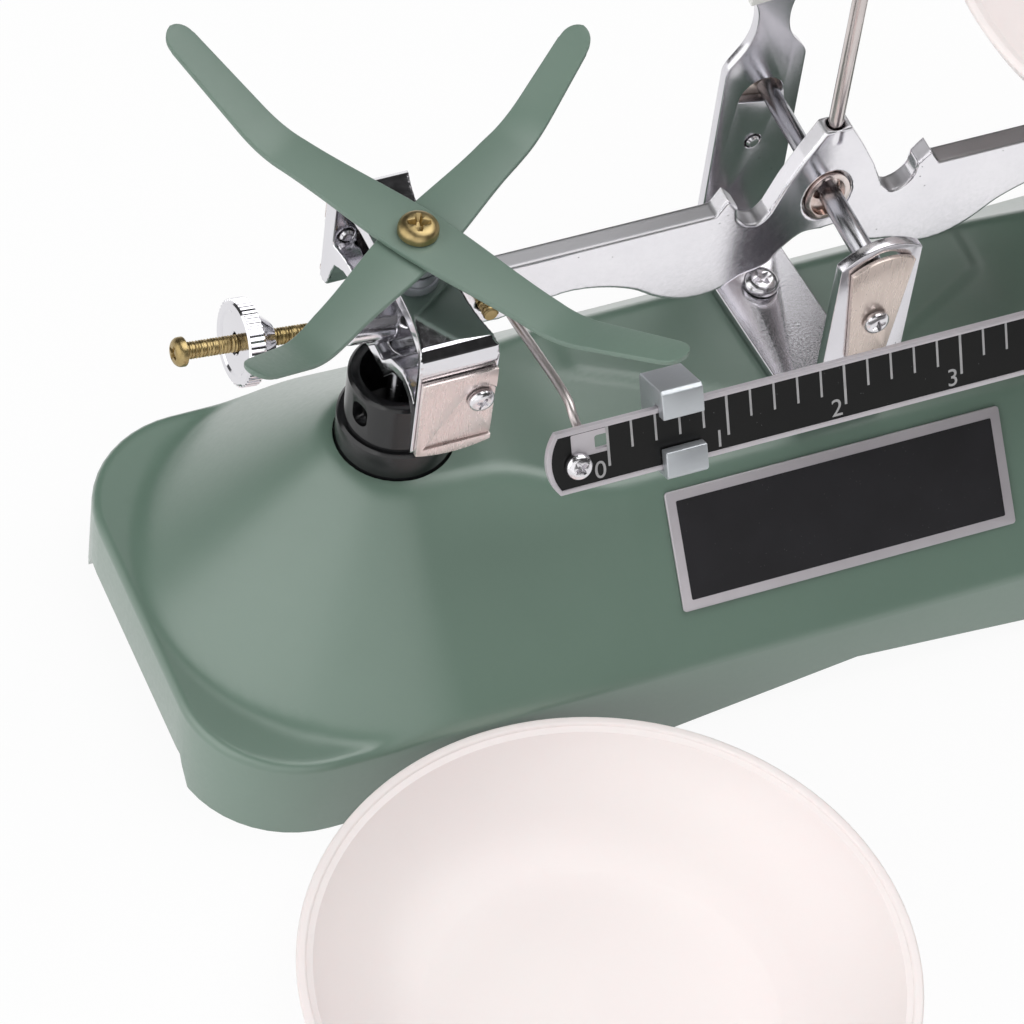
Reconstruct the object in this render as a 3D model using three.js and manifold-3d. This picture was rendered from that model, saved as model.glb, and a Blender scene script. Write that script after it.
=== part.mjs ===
// Two-pan beam balance with a sliding rider, in millimetres, +Z up.
// Everything is drawn from the point on the table under the middle of the beam, with +X to
// the right-hand pan and +Y to the back, where the dial stands. At the end the whole is moved
// so that its origin is the bottom middle of its bounding box.

import * as THREE from 'three';
import { mergeVertices } from 'three/addons/utils/BufferGeometryUtils.js';
import Module from 'manifold-3d';

const wasm = await Module();
wasm.setup();

// Driving sizes. Heights (names with Z) are measured from the table.

const gap = 0.3;                // between pieces that pass through or by each other
const seat = 0.2;               // under a plate, washer or screw head
const overrun = 3;              // how far a cutting shape runs past a face
const weldDistance = 0.0001;

const shell = {
  length: 231.4,
  width: 78.8,
  corner: 20,
  wall: 2.6,
  rimZ: 17,
  shelfZ: 17.6,
  rimRound: 1.5,
  rimDrop: 1.7,
  padZ: 45,
  padHalf: 38,
  padStep: 0.7,
  stepWidth: 1.8,
  frontFall: 1.3,
  ridgeHalf: 16.6,
  creaseFront: 14,
  shoulderBlend: 2,
  footBlend: 1.8,
  bossZ: 48.3,
  bossRadius: 11.3,
  footRadius: 41,
  bossInnerZ: 36,
  bossWall: 3,
};
const creaseSlopeShare = 0.53;
const wallDropShare = 1.3;
const rimRingShares = [
  { inset: 0.3, drop: 0.22 },
  { inset: 0, drop: 1 },
];

const frontArch = { leftX: 41, kinkRise: 7.2, easeX: 33, easeRise: 4.3, rightX: 64 };
const endArch = { frontY: 22.5, backY: 24, rise: 5.5, slant: 3 };

const plateLabel = { x: -1.2, length: 61.7, height: 20.7, thickness: 0.6, upslope: 1.4, corner: 0.6 };

const sleeve = {
  radius: 8.75,
  flangeRadius: 9.9,
  topZ: 64,
  flangeZ: 54,
  bottomZ: 45.5,
  boreRadius: 6.8,
  neckRadius: 4.6,
  neckZ: 52,
  lipChamfer: 0.5,
  slotWidth: 3.4,
  slotLowZ: 57,
  slotHighZ: 62,
};
const slotTurn = THREE.MathUtils.degToRad(20);

const bracket = {
  width: 15,
  sheet: 1.9,
  insideSpan: 39.4,
  middleY: 2.2,
  bendRadius: 1.2,
  frontTopZ: 86.4,
  frontCrown: 3,
  shoulderZ: 91,
  waistZ: 102,
  waistHalf: 3.05,
  headHalf: 6.5,
  headZ: 110,
  headTopZ: 122,
  screwY: 9.8,
  holeHalf: 3.8,
  holeSide: 1.3,
};
const bracketTurn = THREE.MathUtils.degToRad(4);
const bracketWaistShares = { shoulder: 0.3, waist: 0.4, head: 0.6 };

const bearingCover = {
  thickness: 0.9,
  topZ: 85.2,
  crown: 2,
  bottomZ: 63.6,
  topHalf: 5.8,
  bottomHalf: 3.5,
  screwZ: 73,
};

const dial = {
  thickness: 1.2,
  bottomZ: 108.5,
  bottomHalf: 6,
  rootZ: 118,
  rimRadius: 70,
  screwLowZ: 112.5,
  screwHighZ: 118.5,
};
const dialHalfAngle = THREE.MathUtils.degToRad(17);
const dialEdgeShare = 0.55;

const beam = {
  half: 80,
  thickness: 3.6,
  topZ: 85.2,
  bellyZ: 66,
  peakZ: 99.3,
  peakHalf: 2.25,
  endZ: 74.4,
  bevel: 0.45,
  endBossRadius: 3.3,
  endBossLength: 8,
  endMargin: 7.5,
};
const arm = beam.half - beam.endMargin;     // from the middle knife to each end knife
const endBossShares = [-0.25, 0.75];
const beamCrownShares = [
  [0.066, 0.617],
  [0.1, 0.227],
  [0.1275, -0.177],
];
const beamNotchShares = [
  [0.149, -0.305],
  [0.175, -0.277],
  [0.1975, -0.142],
  [0.2025, 0.057],
];
const beamHornShares = [0.2275, 0.227];
const beamHornFootShare = 0.25;
const beamBellyShares = [
  [0.58, 0.49],
  [0.51, 0.464],
  [0.421, 0.323],
  [0.356, 0.125],
  [0.3, 0.02],
  [0.254, 0],
  [0.21, 0.036],
  [0.171, 0.135],
  [0.115, 0.2],
  [0.079, 0.385],
  [0.039, 0.51],
  [0, 0.5],
];
const beamEndShares = [0.7125, 0.365];

const bush = { halfWidth: 3.9, halfHeight: 5.2, rim: 1, proud: 0.3, middleZ: 83.8, bar: 1 };
const middleKnife = { radius: 1.9, backRadius: 1.6, edge: 2.3, middleZ: 84.8, stepY: 2.4, endGap: 0.5 };
const endKnife = { radius: 1.4, edge: 1.7, middleZ: 79 };
const pointer = { radius: 1.25, depth: 3, tipZ: 148, tipLength: 9, tipRadius: 0.4 };

const adjuster = {
  radius: 1.45,
  sunk: 2.4,
  reach: 31,
  headZ: 82.5,
  rootZ: 78.15,
  headRadius: 2.4,
  headHeight: 1.9,
};
const nut = {
  reach: 19.7,
  radius: 7.15,
  thickness: 3,
  hubRadius: 5.2,
  hubTip: 3,
  hubLength: 3.3,
  tooth: 0.35,
};
const nutToothShares = [0.35, 0.65];

const clampInset = { left: 12.6, right: 14.8 };
const clamp = { z: 78, radius: 1.3, front: 2.8, headRadius: 2.6, headHeight: 1.7 };

const ruler = {
  leftInset: 10.4,
  rightInset: 5.4,
  height: 10.8,
  thickness: 1,
  topY: 31.4,
  topZ: 79,
  endBow: 1.9,
  screwInset: 5.2,
  screwDrop: 6.2,
  tabInset: 9.7,
  tabDrop: 3.2,
  tabHalf: 1.25,
};
const rulerLean = THREE.MathUtils.degToRad(26);
const wireInset = { left: 16.7, right: 11.5 };
const wire = { radius: 0.75, z: 75.5, behind: 2.5, straightY: 26.2, crestZ: 80, loop: 2.7 };
const wireRiseShare = 0.45;
const rider = {
  inset: 33.5,
  width: 7.2,
  body: 5.6,
  lip: 2,
  cap: 3.3,
  sole: 0.9,
  upperLip: 5,
  lowerLip: 4.9,
  chamfer: 0.6,
};

const carrier = {
  topZ: 90.8,
  top: 3,
  faceY: 20,
  cheek: 2.3,
  half: 6.9,
  waist: 4.9,
  waistY: 7,
  flareY: 14.5,
  bendY: 17.9,
  bendDrop: 4.1,
  midBendY: 19.5,
  midBendDrop: 1.3,
  footZ: 67.6,
  archY: 16.6,
  archZ: 74.6,
  funnelZ: 68,
  funnelWall: 1,
  web: 3,
  holeHalf: 1.9,
  holeDrop: 4.6,
  screwWall: 0.4,
};
const knifeNotchShare = 0.53;
const carrierFootShares = { round: 0.5, outer: 0.3, inner: 0.8 };
const carrierArchShares = {
  legRise: 0.45,
  round: 0.3,
  outerY: 0.86,
  innerY: 0.66,
  funnelY: 0.4,
  funnelRise: 0.7,
};
const carrierWindowShares = {
  cornerRise: 1.08,
  outerY: 0.86,
  innerY: 0.6,
  innerRise: 0.8,
  funnelY: 0.3,
  funnelRise: 0.5,
};
const cheekCover = {
  thickness: 0.8,
  recess: 0.35,
  top: 1.2,
  sideGap: 0.5,
  crown: 1,
  screwZ: 79.3,
  tear: 3.2,
};
const tearTailShare = 0.33;

const stem = { radius: 2.1, topZ: 70.6, eyeRadius: 4, eyeThickness: 4, pinZ: 14 };
const stay = { thickness: 2.5, halfHeight: 3, eyeRadius: 4.2, hubRadius: 5.5, pinRadius: 1.5, pivotRadius: 2 };
const stayHubShare = 0.8;
const lug = { thickness: 4, half: 6.5 };
const pinHead = { radius: 2.6, height: 1 };

const washer = { radius: 4.2, thickness: 1.8 };
const strip = {
  thickness: 1.1,
  centreHalf: 5,
  armHalf: 3.65,
  tipHalf: 2.65,
  bendStart: 26,
  bendLength: 8,
  upperReach: 51.3,
  lowerReach: 46.3,
};
const stripRiseShares = { lower: 0.65, upper: 0.5 };
const stripTipShare = 0.17;
const stripStepPower = 1.35;                // steps close up towards the tips
const upperStripTurn = THREE.MathUtils.degToRad(-60);
const lowerStripTurn = THREE.MathUtils.degToRad(34);
const crossScrew = { headRadius: 3.35, headHeight: 2.3, shankRadius: 1.5 };

const smallScrew = { headRadius: 2.25, headHeight: 1.5, shankRadius: 1.2, shankLength: 3.7 };
const floorScrew = { headRadius: 3, headHeight: 2, shankRadius: 1.5, shankLength: 9 };
const screwHeadShares = { sideRise: 0.4, shoulderOut: 0.82, shoulderRise: 0.8, crownOut: 0.4 };

const pan = { radius: 50.4, height: 16.6, wall: 1.7, footRadius: 29, lipRound: 0.5 };
const panCurveShares = [
  [0, 0],
  [0.24, 0.092],
  [0.476, 0.246],
  [0.714, 0.477],
  [0.88, 0.723],
  [0.98, 0.938],
];
const loosePan = { x: 68.5, clearance: 0.6 };

const counts = {
  shellCorner: 4,
  shellLength: 24,
  shellRows: 12,
  hollowCorner: 3,
  hollowLength: 12,
  hollowRows: 6,
  round: 16,
  small: 10,
  pan: 28,
  teeth: 24,
  wireSteps: 20,
  wireSides: 6,
  stripSteps: 18,
  curve: 2,
};

// Working sizes that follow from the ones above.

const adjusterRootX = beam.half - adjuster.sunk;
const adjusterHeadX = beam.half + adjuster.reach;
const rulerLeftX = arm - ruler.leftInset;
const rulerRightX = arm - ruler.rightInset;
const labelMiddleY = (shell.width / 2 + shell.ridgeHalf) / 2 - plateLabel.upslope;
const pivotZ = middleKnife.middleZ - middleKnife.edge;
const endEdgeZ = endKnife.middleZ + endKnife.edge;
const stayPivotZ = stem.pinZ + pivotZ - endEdgeZ;
const bracketFloorZ = shell.padZ + seat;
const frontPlateY = -bracket.insideSpan / 2;
const backPlateY = bracket.insideSpan / 2;
const beamDepth = beam.topZ - beam.bellyZ;
const beamCrown = beam.peakZ - beam.topZ;

// Small helpers: shapes, solids and joins.

const { lerp, smoothstep, clamp: limit } = THREE.MathUtils;

function weldGeometry(source) {
  const bare = source.clone();
  bare.deleteAttribute('normal');
  bare.deleteAttribute('uv');
  const welded = mergeVertices(bare, weldDistance);
  const order = welded.index.array;
  const kept = [];
  for (let i = 0; i < order.length; i += 3) {
    const [a, b, c] = [order[i], order[i + 1], order[i + 2]];
    if (a !== b && b !== c && c !== a) kept.push(a, b, c);
  }
  welded.setIndex(kept);
  return welded;
}

function toSolid(geometry) {
  const welded = weldGeometry(geometry);
  const make = (order) => new wasm.Manifold(new wasm.Mesh({
    numProp: 3,
    vertProperties: new Float32Array(welded.attributes.position.array),
    triVerts: new Uint32Array(order),
  }));
  const order = Array.from(welded.index.array);
  const solid = make(order);
  return solid.volume() < 0 ? make(order.reverse()) : solid;
}

function toGeometry(solid) {
  const mesh = solid.getMesh();
  const geometry = new THREE.BufferGeometry();
  geometry.setAttribute('position', new THREE.BufferAttribute(mesh.vertProperties, mesh.numProp));
  geometry.setIndex(new THREE.BufferAttribute(mesh.triVerts, 1));
  return geometry;
}

const join = (...geometries) => toGeometry(
  geometries.map(toSolid).reduce((whole, piece) => whole.add(piece)),
);
const cut = (geometry, ...tools) => toGeometry(
  tools.map(toSolid).reduce((whole, tool) => whole.subtract(tool), toSolid(geometry)),
);
const common = (...geometries) => toGeometry(
  geometries.map(toSolid).reduce((whole, piece) => whole.intersect(piece)),
);

// A shape through the points, always anticlockwise, so that its holes can run either way.
function shapeFrom(points) {
  const corners = points.map(([x, y]) => new THREE.Vector2(x, y));
  return new THREE.Shape(THREE.ShapeUtils.isClockWise(corners) ? corners.reverse() : corners);
}

function circlePath(x, y, radius, turns = Math.PI * 2) {
  const path = new THREE.Path();
  path.absarc(x, y, radius, 0, turns, false);
  return path;
}

// A flat plate whose outline is drawn in X and Z, standing between two Y places.
function standingPlate(shape, frontY, backY, options = {}) {
  const geometry = new THREE.ExtrudeGeometry(shape, {
    depth: backY - frontY, bevelEnabled: false, curveSegments: counts.small / 2, ...options,
  });
  return geometry.rotateX(Math.PI / 2).translate(0, backY, 0);
}

// A side profile drawn in Y and Z, carried along X.
function sideProfile(shape, leftX, rightX, options = {}) {
  const geometry = new THREE.ExtrudeGeometry(shape, {
    depth: rightX - leftX, bevelEnabled: false, curveSegments: counts.small / 2, ...options,
  });
  const basis = new THREE.Matrix4().makeBasis(
    new THREE.Vector3(0, 1, 0),
    new THREE.Vector3(0, 0, 1),
    new THREE.Vector3(1, 0, 0),
  );
  return geometry.applyMatrix4(basis).translate(leftX, 0, 0);
}

// An outline drawn in X and Y, lifted between two heights.
function lyingPlate(shape, lowZ, highZ, options = {}) {
  const geometry = new THREE.ExtrudeGeometry(shape, {
    depth: highZ - lowZ, bevelEnabled: false, curveSegments: counts.small / 2, ...options,
  });
  return geometry.translate(0, 0, lowZ);
}

function turned(profile, sides = counts.round) {
  const points = profile.map(([radius, height]) => new THREE.Vector2(radius, height));
  return new THREE.LatheGeometry(points, sides).rotateX(Math.PI / 2);
}

function uprightRod(radius, lowZ, highZ, sides = counts.small) {
  const rod = new THREE.CylinderGeometry(radius, radius, highZ - lowZ, sides);
  return rod.rotateX(Math.PI / 2).translate(0, 0, (lowZ + highZ) / 2);
}

function crossRod(radius, frontY, backY, sides = counts.small) {
  const rod = new THREE.CylinderGeometry(radius, radius, backY - frontY, sides);
  return rod.translate(0, (frontY + backY) / 2, 0);
}

// A pan-head screw along Z, its head resting on Z = 0 and its shank below.
function panHeadScrew({ headRadius, headHeight, shankRadius, shankLength }) {
  const { sideRise, shoulderOut, shoulderRise, crownOut } = screwHeadShares;
  return turned([
    [0, -shankLength],
    [shankRadius, -shankLength],
    [shankRadius, 0],
    [headRadius, 0],
    [headRadius, headHeight * sideRise],
    [headRadius * shoulderOut, headHeight * shoulderRise],
    [headRadius * crownOut, headHeight],
    [0, headHeight],
  ], counts.small);
}

// A knife section: a round bar drawn out to an edge on one side.
function knifeShape(radius, edge, upwards) {
  const side = upwards ? 1 : -1;
  const touch = Math.acos(radius / edge);
  const start = side * Math.PI / 2;
  const shape = new THREE.Shape();
  shape.moveTo(0, side * edge);
  shape.lineTo(radius * Math.cos(start + touch), radius * Math.sin(start + touch));
  shape.absarc(0, 0, radius, start + touch, start + Math.PI * 2 - touch, false);
  shape.closePath();
  return shape;
}

const balance = new THREE.Group();

function place(parent, name, geometry, look, position = [0, 0, 0]) {
  const [color, roughness, metalness] = look;
  const material = new THREE.MeshStandardMaterial({ color, roughness, metalness });
  const mesh = new THREE.Mesh(weldGeometry(geometry), material);
  mesh.name = name;
  mesh.position.set(...position);
  parent.add(mesh);
  return mesh;
}

const looks = {
  enamel: [0x7a9484, 0.55, 0.1],
  chrome: [0xd0ced2, 0.12, 1],
  zinc: [0xb4b2b6, 0.38, 1],
  beige: [0xe4d3cb, 0.4, 0.6],
  brass: [0xb0904c, 0.3, 1],
  copper: [0xc39a84, 0.35, 1],
  black: [0x26262a, 0.5, 0],
  rulerBlack: [0x1d1d1d, 0.4, 0.3],
  panWhite: [0xf3e6e4, 0.4, 0],
  labelBlack: [0x393738, 0.4, 0.2],
  dialWhite: [0xeeeeea, 0.4, 0],
};

// The cast base: a long ridge with a raised pad in the middle and a boss near each end.

function ridgeHeight(x, y) {
  const along = Math.abs(x);
  const towardBoss = smoothstep(along, shell.padHalf, arm - shell.bossRadius);
  const crease = creaseSlopeShare * along - shell.creaseFront;
  const before = limit((crease - y) / (crease + shell.ridgeHalf), 0, 1);
  const behindCrease = smoothstep(y, crease - shell.stepWidth / 2, crease + shell.stepWidth / 2);
  const insideEnd = 1 - smoothstep(along, shell.padHalf - shell.stepWidth, shell.padHalf + shell.stepWidth);
  const lowered = shell.frontFall * before + shell.padStep * (1 - behindCrease * insideEnd);
  return lerp(shell.padZ, shell.bossZ, towardBoss) - (1 - towardBoss) * lowered;
}

function smoothLower(a, b, blend) {
  const overlap = Math.max(blend - Math.abs(a - b), 0);
  return Math.min(a, b) - overlap * overlap / (4 * blend);
}

function shellHeight(x, y) {
  const along = Math.abs(x);
  const towardBoss = limit((along - shell.padHalf) / (arm - shell.padHalf), 0, 1);
  const ridge = lerp(shell.ridgeHalf, shell.bossRadius, towardBoss);
  const foot = lerp(shell.width / 2, shell.footRadius, towardBoss);
  const level = lerp(shell.padZ, shell.bossZ, towardBoss);
  const outward = along > arm ? Math.hypot(along - arm, y) : Math.abs(y);
  const slope = lerp(shell.rimZ, level, (foot - outward) / (foot - ridge));
  const hill = smoothLower(slope, ridgeHeight(x, y), shell.shoulderBlend);
  return -smoothLower(-hill, -shell.shelfZ, shell.footBlend);
}

// Columns across the plan: each has its X and half width inside the rounded outline.
function planColumns(inset, cornerCount, lengthCount) {
  const straight = shell.length / 2 - shell.corner;
  const radius = shell.corner - inset;
  const corner = [];
  for (let i = 0; i < cornerCount; i += 1) {
    const angle = (Math.PI / 2) * (1 - i / cornerCount);
    const half = shell.width / 2 - shell.corner + radius * Math.cos(angle);
    corner.push([straight + radius * Math.sin(angle), half]);
  }
  const middle = [];
  for (let i = 0; i <= lengthCount; i += 1) {
    middle.push([lerp(-straight, straight, i / lengthCount), shell.width / 2 - inset]);
  }
  const left = corner.map(([x, half]) => [-x, half]);
  return [...left, ...middle, ...corner.reverse()];
}

// A closed solid under the base's top surface, with optional rings that round its rim.
function moundGeometry({ inset, lowered, rings, floorZ, corner, length, rows }) {
  const columns = planColumns(inset, corner, length);
  const last = columns.length - 1;
  const vertices = [];
  const triangles = [];
  const shareAt = (row) => (2 * row) / rows - 1;
  const at = (column, row) => column * (rows + 1) + row;
  columns.forEach(([x, half]) => {
    for (let row = 0; row <= rows; row += 1) {
      const y = half * shareAt(row);
      vertices.push([x, y, shellHeight(x, y) - lowered]);
    }
  });
  for (let column = 0; column < last; column += 1) {
    for (let row = 0; row < rows; row += 1) {
      const corners = [at(column, row), at(column + 1, row), at(column + 1, row + 1), at(column, row + 1)];
      triangles.push([corners[0], corners[1], corners[2]], [corners[0], corners[2], corners[3]]);
    }
  }
  const edge = [];
  for (let column = 0; column < last; column += 1) edge.push([column, 0]);
  for (let row = 0; row < rows; row += 1) edge.push([last, row]);
  for (let column = last; column > 0; column -= 1) edge.push([column, rows]);
  for (let row = rows; row > 0; row -= 1) edge.push([0, row]);
  let upper = edge.map(([column, row]) => at(column, row));
  const addRing = (ringInset, heightAt) => {
    const ringColumns = planColumns(ringInset, corner, length);
    const lower = edge.map(([column, row]) => {
      const [x, half] = ringColumns[column];
      const y = half * shareAt(row);
      return vertices.push([x, y, heightAt(x, y)]) - 1;
    });
    upper.forEach((top, i) => {
      const next = (i + 1) % upper.length;
      triangles.push([top, lower[i], lower[next]], [top, lower[next], upper[next]]);
    });
    upper = lower;
  };
  rings.forEach((ring) => addRing(ring.inset, (x, y) => shellHeight(x, y) - ring.drop));
  addRing(rings.length ? rings[rings.length - 1].inset : inset, () => floorZ);
  const middle = vertices.push([0, 0, floorZ]) - 1;
  upper.forEach((here, i) => triangles.push([here, middle, upper[(i + 1) % upper.length]]));
  const geometry = new THREE.BufferGeometry();
  geometry.setAttribute('position', new THREE.Float32BufferAttribute(vertices.flat(), 3));
  geometry.setIndex(triangles.flat());
  return geometry;
}

const stayFrontY = stem.eyeThickness / 2 + gap;
const stayBackY = stayFrontY + stay.thickness;
const lugPlaces = [
  [stayFrontY - gap - lug.thickness, stayFrontY - gap],
  [stayBackY + gap, stayBackY + gap + lug.thickness],
];

function lugGeometry([frontY, backY]) {
  const shape = new THREE.Shape();
  shape.absarc(0, stayPivotZ, lug.half, Math.PI, Math.PI * 2, false);
  shape.lineTo(lug.half, shell.padZ - shell.wall / 2);
  shape.lineTo(-lug.half, shell.padZ - shell.wall / 2);
  shape.closePath();
  shape.holes.push(circlePath(0, stayPivotZ, stay.pivotRadius + gap));
  return standingPlate(shape, frontY, backY);
}

function baseShell() {
  const outer = moundGeometry({
    inset: shell.rimRound,
    lowered: 0,
    rings: rimRingShares.map(({ inset, drop }) => (
      { inset: inset * shell.rimRound, drop: drop * shell.rimDrop }
    )),
    floorZ: 0,
    corner: counts.shellCorner,
    length: counts.shellLength,
    rows: counts.shellRows,
  });
  const hollow = moundGeometry({
    inset: shell.wall,
    lowered: shell.wall * wallDropShare,
    rings: [],
    floorZ: -overrun,
    corner: counts.hollowCorner,
    length: counts.hollowLength,
    rows: counts.hollowRows,
  });
  const lengthwise = shapeFrom([
    [-frontArch.leftX, 0],
    [0, frontArch.kinkRise],
    [frontArch.easeX, frontArch.easeRise],
    [frontArch.rightX, 0],
    [frontArch.rightX, -overrun],
    [-frontArch.leftX, -overrun],
  ]);
  const crosswise = shapeFrom([
    [-endArch.frontY - endArch.slant / 2, -overrun],
    [endArch.backY + endArch.slant / 2, -overrun],
    [endArch.backY + endArch.slant / 2, 0],
    [endArch.backY - endArch.slant / 2, endArch.rise],
    [endArch.slant / 2 - endArch.frontY, endArch.rise],
    [-endArch.frontY - endArch.slant / 2, 0],
  ]);
  const bossOuter = sleeve.flangeRadius + shell.bossWall;
  const bosses = [-arm, arm].map((x) => (
    uprightRod(bossOuter, shell.bossInnerZ, shell.bossZ - shell.wall, counts.round).translate(x, 0, 0)
  ));
  const sockets = [-arm, arm].flatMap((x) => [
    uprightRod(sleeve.flangeRadius + gap, sleeve.bottomZ - seat, shell.bossZ + overrun, counts.round),
    uprightRod(sleeve.neckRadius + gap, shell.bossInnerZ - overrun, shell.bossZ, counts.round),
  ].map((tool) => tool.translate(x, 0, 0)));
  const screwHole = uprightRod(floorScrew.shankRadius + gap, 0, shell.padZ + overrun);
  screwHole.applyMatrix4(screwPlace());
  const hollowed = cut(outer, hollow);
  const skirt = cut(
    hollowed,
    standingPlate(lengthwise, -shell.width, shell.width),
    sideProfile(crosswise, -shell.length, shell.length),
  );
  const bossed = join(skirt, ...bosses, ...lugPlaces.map(lugGeometry));
  return cut(bossed, ...sockets, screwHole);
}

// The column bracket is turned a little about its one floor screw.
const bracketFrame = new THREE.Matrix4()
  .makeTranslation(0, bracket.middleY, 0)
  .multiply(new THREE.Matrix4().makeRotationZ(bracketTurn));

function screwPlace() {
  return new THREE.Matrix4().multiplyMatrices(
    bracketFrame,
    new THREE.Matrix4().makeTranslation(0, bracket.screwY, 0),
  );
}

place(balance, 'base_shell', baseShell(), looks.enamel);

function nameplate() {
  const { length, height, thickness, corner } = plateLabel;
  const shape = roundedRectangle(length / 2, height / 2, corner);
  return lyingPlate(shape, 0, thickness);
}

function roundedRectangle(halfX, halfY, corner) {
  const shape = new THREE.Shape();
  shape.moveTo(-halfX, corner - halfY);
  shape.absarc(corner - halfX, corner - halfY, corner, Math.PI, Math.PI * 1.5, false);
  shape.absarc(halfX - corner, corner - halfY, corner, Math.PI * 1.5, Math.PI * 2, false);
  shape.absarc(halfX - corner, halfY - corner, corner, 0, Math.PI * 0.5, false);
  shape.absarc(corner - halfX, halfY - corner, corner, Math.PI * 0.5, Math.PI, false);
  shape.closePath();
  return shape;
}

const frontSlope = Math.atan2(shell.padZ - shell.rimZ, shell.width / 2 - shell.ridgeHalf);
const labelZ = shell.rimZ + (shell.width / 2 - labelMiddleY) * Math.tan(frontSlope);
const labelPiece = place(balance, 'nameplate', nameplate(), looks.labelBlack, [
  plateLabel.x,
  -labelMiddleY - gap * Math.sin(frontSlope),
  labelZ + gap * Math.cos(frontSlope),
]);
labelPiece.rotation.x = frontSlope;

// The black sleeves that the pan stems slide through.

function sleeveGeometry() {
  const { radius, flangeRadius, boreRadius, neckRadius, lipChamfer } = sleeve;
  const body = turned([
    [neckRadius, sleeve.bottomZ],
    [flangeRadius, sleeve.bottomZ],
    [flangeRadius, sleeve.flangeZ - lipChamfer],
    [flangeRadius - lipChamfer, sleeve.flangeZ],
    [radius, sleeve.flangeZ],
    [radius, sleeve.topZ - lipChamfer],
    [radius - lipChamfer, sleeve.topZ],
    [boreRadius, sleeve.topZ],
    [boreRadius, sleeve.neckZ],
    [neckRadius, sleeve.neckZ],
    [neckRadius, sleeve.bottomZ],
  ]);
  const slotHeight = sleeve.slotHighZ - sleeve.slotLowZ;
  const slot = new THREE.BoxGeometry(sleeve.radius, sleeve.slotWidth, slotHeight);
  slot.translate(-sleeve.radius, 0, sleeve.slotLowZ + slotHeight / 2).rotateZ(slotTurn);
  return cut(body, slot);
}

// The column: one folded strip with a front ear, a floor and a tall back plate.

function bearingHole(plateMiddleY) {
  const offset = plateMiddleY * Math.tan(bracketTurn);
  const path = new THREE.Path();
  path.moveTo(offset, pivotZ - gap);
  path.lineTo(bracket.holeHalf, pivotZ + bracket.holeSide);
  path.absarc(0, pivotZ + bracket.holeSide, bracket.holeHalf, 0, Math.PI, false);
  path.closePath();
  return path;
}

function bracketStrip(highZ) {
  const { insideSpan, sheet, bendRadius } = bracket;
  const half = insideSpan / 2;
  const outer = half + sheet;
  const round = bendRadius + sheet;
  const profile = new THREE.Shape();
  profile.moveTo(-outer, highZ);
  profile.lineTo(-outer, bracketFloorZ + round);
  profile.absarc(round - outer, bracketFloorZ + round, round, Math.PI, Math.PI * 1.5, false);
  profile.absarc(outer - round, bracketFloorZ + round, round, Math.PI * 1.5, Math.PI * 2, false);
  profile.lineTo(outer, highZ);
  profile.lineTo(half, highZ);
  profile.absarc(outer - round, bracketFloorZ + round, bendRadius, 0, -Math.PI / 2, true);
  profile.absarc(round - outer, bracketFloorZ + round, bendRadius, -Math.PI / 2, -Math.PI, true);
  profile.lineTo(-half, highZ);
  profile.closePath();
  return sideProfile(profile, -bracket.width, bracket.width);
}

function frontEarOutline() {
  const half = bracket.width / 2;
  const shape = new THREE.Shape();
  shape.moveTo(-half, 0);
  shape.lineTo(half, 0);
  shape.lineTo(half, bracket.frontTopZ);
  shape.quadraticCurveTo(0, bracket.frontTopZ + bracket.frontCrown * 2, -half, bracket.frontTopZ);
  shape.closePath();
  shape.holes.push(bearingHole(frontPlateY));
  shape.holes.push(circlePath(0, bearingCover.screwZ, smallScrew.shankRadius + gap));
  return shape;
}

function backPlateOutline() {
  const half = bracket.width / 2;
  const { shoulderZ, waistZ, waistHalf, headHalf, headZ, headTopZ } = bracket;
  const upperWaistZ = lerp(waistZ, headZ, bracketWaistShares.head);
  const shoulderPullZ = lerp(shoulderZ, waistZ, bracketWaistShares.shoulder);
  const waistPullZ = lerp(shoulderZ, waistZ, bracketWaistShares.waist);
  const shape = new THREE.Shape();
  shape.moveTo(-half, 0);
  shape.lineTo(half, 0);
  shape.lineTo(half, shoulderZ);
  shape.bezierCurveTo(half, shoulderPullZ, waistHalf, waistPullZ, waistHalf, waistZ);
  shape.quadraticCurveTo(waistHalf, upperWaistZ, headHalf, headZ);
  shape.lineTo(headHalf, headTopZ - headHalf);
  shape.absarc(0, headTopZ - headHalf, headHalf, 0, Math.PI, false);
  shape.lineTo(-headHalf, headZ);
  shape.quadraticCurveTo(-waistHalf, upperWaistZ, -waistHalf, waistZ);
  shape.bezierCurveTo(-waistHalf, waistPullZ, -half, shoulderPullZ, -half, shoulderZ);
  shape.closePath();
  shape.holes.push(bearingHole(backPlateY));
  shape.holes.push(circlePath(0, bearingCover.screwZ, smallScrew.shankRadius + gap));
  shape.holes.push(circlePath(0, dial.screwLowZ, smallScrew.shankRadius + gap));
  shape.holes.push(circlePath(0, dial.screwHighZ, smallScrew.shankRadius + gap));
  return shape;
}

function columnBracket() {
  const folded = bracketStrip(bracket.headTopZ + overrun);
  const reach = bracket.insideSpan;
  const halves = join(
    standingPlate(frontEarOutline(), -reach, 0),
    standingPlate(backPlateOutline(), 0, reach),
  );
  const hole = uprightRod(floorScrew.shankRadius + gap, 0, bracketFloorZ + bracket.sheet + overrun);
  return cut(common(folded, halves), hole.translate(0, bracket.screwY, 0));
}

function bearingCoverGeometry() {
  const { thickness, topZ, crown, bottomZ, topHalf, bottomHalf } = bearingCover;
  const shape = new THREE.Shape();
  shape.moveTo(-bottomHalf, bottomZ);
  shape.lineTo(bottomHalf, bottomZ);
  shape.lineTo(topHalf, topZ);
  shape.quadraticCurveTo(0, topZ + crown * 2, -topHalf, topZ);
  shape.closePath();
  shape.holes.push(circlePath(0, bearingCover.screwZ, smallScrew.shankRadius + gap));
  return standingPlate(shape, -thickness, 0);
}

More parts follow.
